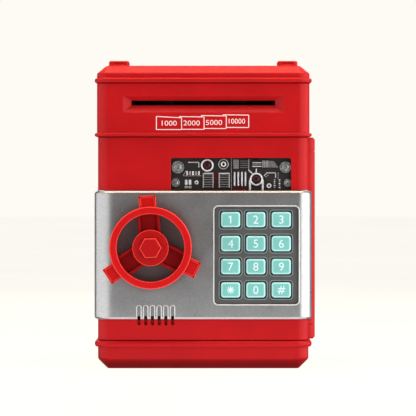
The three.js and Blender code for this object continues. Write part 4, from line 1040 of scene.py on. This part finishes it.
def circuit_picture():
    face = (RELIEF_LOW[0], RELIEF_HIGH[0], RELIEF_LOW[2], RELIEF_HIGH[2])
    base = plate("relief_plate", *face, 1.0, RELIEF_FACE, RELIEF_HIGH[1], 0.1, "relief")
    discs = [(-15.2, 120.4, 3.9), (-16.5, 111.2, 2.6), (49.1, 120.4, 3.6), (50.4, 111.0, 2.4)]
    parts = [relief_disc(*disc) for disc in discs]
    parts.append(relief_ring(12.1, 122.2, 3.2, 2.5, 0.9, "soft_chrome"))
    parts.append(relief_ring(12.1, 122.2, 1.7, 0.8, 0.8))
    parts.append(relief_ring(39.3, 109.3, 1.5, 0.6, 0.6))
    parts.append(relief_ring(-4.0, 111.3, 1.2, 0.5, 0.6))
    for node, x, z, outer in [("led_1", 2.4, 121.5, 3.9), ("led_2", 31.7, 113.2, 4.0)]:
        parts.append(relief_ring(x, z, outer, outer - 1.2, 1.7))
        lamp_dome(node, x, z)
    parts += [upright_bar(x, 0.55, 1.3, 103.0, 113.0, "chrome", 0.25) for x in (27.9, 35.5)]
    parts.append(raised(31.3, 32.1, 1.0, 117.2, 119.4, "chrome", 0.2))
    parts += heat_sink(-0.3, 6.2, 108.0, 117.0)
    parts += heat_sink(9.2, 15.9, 108.0, 117.0)
    parts += [upright_bar(x, 0.42, 1.1, 109.2, 117.6, "chrome", 0.2) for x in (18.7, 20.9, 23.1, 25.2)]
    # Two dark red patches: painted red glow.
    parts.append(raised(17.6, 25.8, 0.7, 103.5, 108.6, "painted_red_glow", 0.15))
    parts.append(raised(6.7, 8.7, 0.4, 104.0, 117.0, "painted_red_glow", 0.1))
    parts += [cross_bar(6.5, 8.9, 0.8, z, 0.4, "relief", 0.15) for z in (108.8, 111.2, 113.6)]
    parts.append(raised(18.0, 21.2, 0.9, 119.4, 125.0, "fin", 0.15))
    parts.append(raised(21.8, 27.0, 0.8, 119.4, 125.0, "relief", 0.15))
    for i in range(4):
        z = 120.2 + 1.3 * i
        parts.append(cross_bar(22.0, 26.8, 1.0, z, 0.15, "fin", 0.08))
        parts.append(cross_bar(18.1, 21.1, 1.05, z, 0.12, "soft_chrome", 0.08))
    parts.append(raised(27.0, 27.4, 1.1, 118.8, 125.4, "soft_chrome", 0.1))
    picture = merge(base, parts + resistor() + traces())
    picture.name = "circuit_picture"
    install(picture, "door", ["circuit_relief"])


def resistor():
    lines = zip((120.9, 122.0, 123.1), ("chrome", "fin", "chrome"))
    parts = [cross_bar(29.3, 34.8, 1.0, z, 0.28, material, 0.12) for z, material in lines]
    for x in (35.6, 36.6, 37.6, 38.5):
        parts.append(upright_bar(x, 0.33, 1.1, 120.2, 124.4, "soft_chrome", 0.12))
    corners = [(39.0, 124.4), (42.2, 124.0), (44.9, 120.2), (39.0, 120.2)]
    levels = (RELIEF_FACE - 0.7, RELIEF_FACE + RELIEF_FOOT)
    parts.append(loft("resistor_wedge", [[(x, y, z) for x, z in corners] for y in levels], "fin"))
    parts.append(raised(29.5, 33.5, 0.5, 124.5, 125.6, "dark_red", 0.1))
    return parts


def trace(points, width=0.3, material="chrome"):
    return tube("trace", [(x, RELIEF_FACE - 0.35, z) for x, z in points], width, material, False, 6, 1.6)


def traces():
    """The thin lines of the picture, with the pins, dashes and chip between them."""
    y = RELIEF_FACE
    parts = [trace([(-9.0, 123.3), (-2.8, 123.3), (-2.6, 123.1), (-2.6, 120.2)], 0.32)]
    pin = [(0.4, y + RELIEF_FOOT), (0.4, y - 0.6), (0.2, y - 0.8)]
    parts += [lathe("pin", pin, (x, 0, 125.0), "y", 10, "dark_red") for x in (-5.5, -3.3)]
    for i in range(5):
        material = "soft_chrome" if i % 2 else "chrome"
        parts.append(upright_bar(-9.6 + i * 1.75, 0.5, 1.0, 115.6, 118.0, material, 0.15))
    parts.append(trace([(-12.0, 115.4), (-10.2, 118.3)], 0.25, "soft_chrome"))
    parts.append(trace([(-12.0, 115.2), (-1.0, 115.2)], 0.2, "soft_chrome"))
    for x in (-10.2, -7.9):
        parts.append(upright_bar(x, 0.75, 1.1, 109.9, 112.9, "chrome", 0.2))
        parts.append(upright_bar(x, 0.9, 1.0, 107.7, 109.2, "soft_chrome", 0.2))
    parts.append(trace([(26.9, 118.8), (29.4, 116.6)], 0.42))
    parts.append(trace([(36.3, 115.2), (38.0, 117.0), (42.6, 117.0), (43.2, 116.6), (43.2, 114.0)]))
    parts.append(trace([(37.0, 114.4), (39.0, 115.8)], 0.28, "soft_chrome"))
    parts.append(trace([(44.7, 117.4), (44.7, 113.2)], 0.22, "soft_chrome"))
    for column, x in enumerate((42.6, 45.6)):
        for i in range(5):
            z = 108.2 + 1.15 * i
            material = "chrome" if (i + column) % 2 else "soft_chrome"
            parts.append(raised(x - 0.5, x + 0.45, 0.8, z - 0.32, z + 0.32, material, 0.12))
    parts.append(raised(37.0, 41.4, 0.6, 111.6, 114.8, "relief", 0.15))
    parts.append(raised(16.6, 17.0, 0.9, 106.0, 125.8, "fin", 0.1))
    return parts


def lamp_dome(node, x, z):
    radius, foot = 2.4, RELIEF_FACE - 0.4
    angles = [math.pi / 2 * i / 8 for i in range(1, 8)]
    profile = [(radius, RELIEF_FACE + 2.2), (radius, foot)]
    profile += [(radius * math.cos(a), foot - 1.7 * math.sin(a)) for a in angles]
    profile += [(0.12, RELIEF_FACE - 2.1)]
    dome = lathe(node + "_dome", profile, (x, 0, z), "y", 28, "dark_red")
    install(dome, "door", [node], angle=80)


# ---------------------------------------------------------------- handwheel


def turned(obj, turn):
    """Turns an arm built about the origin on to the wheel's axis."""
    place = Matrix.Translation(Vector((WHEEL_CENTRE[0], FASCIA_FRONT, WHEEL_CENTRE[1])) * MM)
    obj.data.transform(place @ Matrix.Rotation(-turn, 4, "Y"))
    return obj


def bright_edges(obj):
    """The chamfers round the wheel's front faces get a paler red than the rest: a painted highlight."""
    paint(obj, "wheel_highlight", lambda centre, normal: -0.97 < normal.y < -0.3)
    return obj


def wheel_arm(turn):
    """A shallow channel between two ribs, ending in a lug with a raised border."""
    half_width, lug_half, lug_top = 6.6, 5.15, 31.0
    outline = [(-6.9, 6.0), (6.9, 6.0), (6.7, 15), (half_width, 21.4), (-half_width, 21.4), (-6.7, 15)]
    loops = [[(x, y, z) for x, z in outline] for y in (-5.6, -4.4)]
    # The channel floor gets the darker red of painted shade.
    parts = [loft("spoke", loops, "wheel_shade")]
    # The ribs get a darker copy of the wheel red: painted shade.
    for side in (-1, 1):
        x0, x1 = sorted((side * 4.9, side * half_width))
        parts.append(box("spoke_rib", x0, x1, -7.4, -5.4, 8, 21.4, "wheel_rib_shade", 0.4))
    parts.append(plate("lug", -lug_half, lug_half, 22.2, lug_top, 0.9, -9.0, -4.4, 0.3, "wheel_red", 0.3))
    border = lug_half - 0.75
    corners = [(-border, 22.4), (-border, lug_top - 0.75), (border, lug_top - 0.75), (border, 22.4)]
    for (ax, az), (bx, bz) in zip(corners, corners[1:]):
        x0, x1 = min(ax, bx) - 0.65, max(ax, bx) + 0.65
        z0, z1 = min(az, bz) - 0.65, max(az, bz) + 0.65
        parts.append(bright_edges(box("lug_border", x0, x1, -9.6, -8.8, z0, z1, "wheel_red", 0.3)))
    return [turned(part, turn) for part in parts]


def handwheel():
    inner, outer = 20.0, 24.4
    front, shoulder, back = -11.8, -11.2, -5.6
    section = [(inner, back), (inner, shoulder), (inner + 0.2, front + 0.15), (inner + 0.45, front)]
    section += [(outer - 0.6, front), (outer - 0.2, front + 0.15), (outer, shoulder)]
    section += [(outer, back + 0.3), (outer - 0.3, back)]
    place = (WHEEL_CENTRE[0], FASCIA_FRONT, WHEEL_CENTRE[1])
    ring = bright_edges(lathe("wheel", section, place, "y", 96, "wheel_red", True))
    hub_radius = 10.8
    hub_section = [(0.3, -3.6), (10.6, -3.6), (hub_radius, -3.8), (hub_radius, shoulder)]
    hub_section += [(10.65, front + 0.12), (10.35, front), (0.3, front)]
    parts = [bright_edges(lathe("hub", hub_section, place, "y", 72, "hub_shaded_red"))]
    for n in range(3):
        parts += wheel_arm(WHEEL_TILT + n * 2 * math.pi / 3)
    install(merge(ring, parts), "handwheel", ["handwheel"])
    hexagonal_cap()


def hexagonal_cap():
    corner_radius = 11.4 / math.sqrt(3)
    angles = [math.radians(60 * k + 1.5) for k in range(6)]

    def hexagon(inset):
        reach = corner_radius - inset
        x, z = WHEEL_CENTRE
        return [(x + reach * math.cos(a), z + reach * math.sin(a)) for a in angles]

    levels = [(0.5, -14.6), (0.2, -14.45), (0.0, -14.1), (0.0, -11.6)]
    loops = facing_loops(hexagon, [(inset, FASCIA_FRONT + y) for inset, y in levels])
    cap = bright_edges(loft("hex_cap", loops, "hub_shaded_red"))
    install(cap, "handwheel", ["wheel_cap"], angle=25)


# ---------------------------------------------------------------- back and small parts


def battery_hatch():
    low, high = extent("battery_hatch")
    front, back = low[1], 50.8
    panel = plate("hatch_panel", low[0], high[0], low[2], high[2], 1.5, front, back, 0.0, "red", 0.35)
    screw_hole = [(1.5, front - 1), (1.5, back - 0.6), (2.9, back - 0.2), (3.0, back + 1)]
    boolean(panel, [lathe("cutter", screw_hole, (0, 0, 76.6), "y", 24)])
    ribs = []
    for i in range(7):
        x = -13.5 + 4.5 * i
        face = (x - 0.7, x + 0.7, low[2] + 5, low[2] + 16)
        ribs.append(plate("hatch_rib", *face, 0.69, back - 0.2, back + 0.8, 0.0, "red", 0.4))
    arrow = [[(-3.5, y, 66), (0, y, 61), (3.5, y, 66)] for y in (back - 0.2, back + 0.45)]
    ribs.append(loft("hatch_arrow", arrow))
    install(merge(panel, ribs), "battery_hatch", ["battery_hatch"])


def screw_head(node, axis, body):
    """A pan head with a cross recess over the CAD screw."""
    low, high = extent(node)
    centre = [(a + b) / 2 for a, b in zip(low, high)]
    if axis == "z":
        radius, height, tip, sign = 3.2, 1.8, low[2], 1
    else:
        radius, height, tip, sign = (high[0] - low[0]) / 2, 1.4, high[1], -1
    steps = [math.pi / 2 * i / 5 for i in range(6)]
    rise = sign * (height * 0.55)
    profile = [(0.2, tip)]
    profile += [(radius * (0.55 + 0.45 * math.sin(a)), tip + rise * (1 - math.cos(a))) for a in steps]
    profile += [(radius, tip + sign * height), (1.2, tip + sign * height)]
    profile += [(1.2, tip + sign * 7), (0.3, tip + sign * 8.5)]
    place = (centre[0], centre[1], 0) if axis == "z" else (centre[0], 0, centre[2])
    head = lathe("head_" + node, profile, place, axis, 32, "steel")
    tools = []
    for a, b in ((radius * 0.6, 0.38), (0.38, radius * 0.6)):
        x0, x1 = centre[0] - a, centre[0] + a
        if axis == "z":
            tools.append(raw_box(x0, x1, centre[1] - b, centre[1] + b, tip - 1, tip + 0.9))
        else:
            tools.append(raw_box(x0, x1, tip - 0.8, tip + 1, centre[2] - b, centre[2] + b))
    boolean(head, tools)
    install(head, body, [node])


def carried_nodes():
    """CAD nodes that keep their shape get a material and softened edges."""
    looks = {
        "steel": "latch_keeper hinge_pin bracket_left bracket_right feed_motor solenoid solenoid_plunger "
        "wheel_shaft latch_bolt",
        "black": "cash_shelf note_guide board_chip battery_box door_inner_cover",
        "dark": "coin_chute speaker",
        "board": "main_board keypad_board",
        "battery": "battery_cell_1 battery_cell_2 battery_cell_3",
        "brass": "motor_pinion",
        "rubber": "drive_roller idler_roller",
    }
    for node, look in [(node, look) for look, nodes in looks.items() for node in nodes.split()]:
        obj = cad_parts[node]
        obj.data.materials.clear()
        obj.data.materials.append(MATERIALS[look])
        modifier = obj.modifiers.new("soften", "BEVEL")
        modifier.width = 0.2 * MM
        modifier.segments = 2
        modifier.limit_method = "ANGLE"
        modifier.angle_limit = math.radians(50)


def add_floor():
    """A back-lit pale sheet: it glows evenly and takes a faint contact shadow."""
    size = 6000
    material, tree, bsdf = material_nodes("pale_floor", (0.1, 0.096, 0.07), 0.8)
    low = tuple(c * 0.955 for c in CREAM)
    high = tuple(c * 0.975 for c in CREAM)
    tone = color_ramp(tree, noise(tree, 3, 2), low, high)
    tree.links.new(tone, bsdf.inputs["Emission Color"])
    bsdf.inputs["Emission Strength"].default_value = 1.0
    bsdf.inputs["Specular IOR Level"].default_value = 0.05
    corners = [(-size, -size, 0), (size, -size, 0), (size, size, 0), (-size, size, 0)]
    floor = link("floor", corners, [(0, 1, 2, 3)], material)
    floor.visible_diffuse = False
    floor.visible_glossy = False


add_camera()
add_world()
add_lights()
add_floor()
base_shell()
body_shell()
note_shell()
value_labels()
top_shell()
door_shell()
fascia_shell()
keypad()
circuit_picture()
handwheel()
battery_hatch()
for n in range(1, 5):
    screw_head(f"base_screw_{n}", "z", "casing")
    screw_head(f"door_screw_{n}", "y", "door")
screw_head("battery_hatch_screw", "y", "battery_hatch")
carried_nodes()
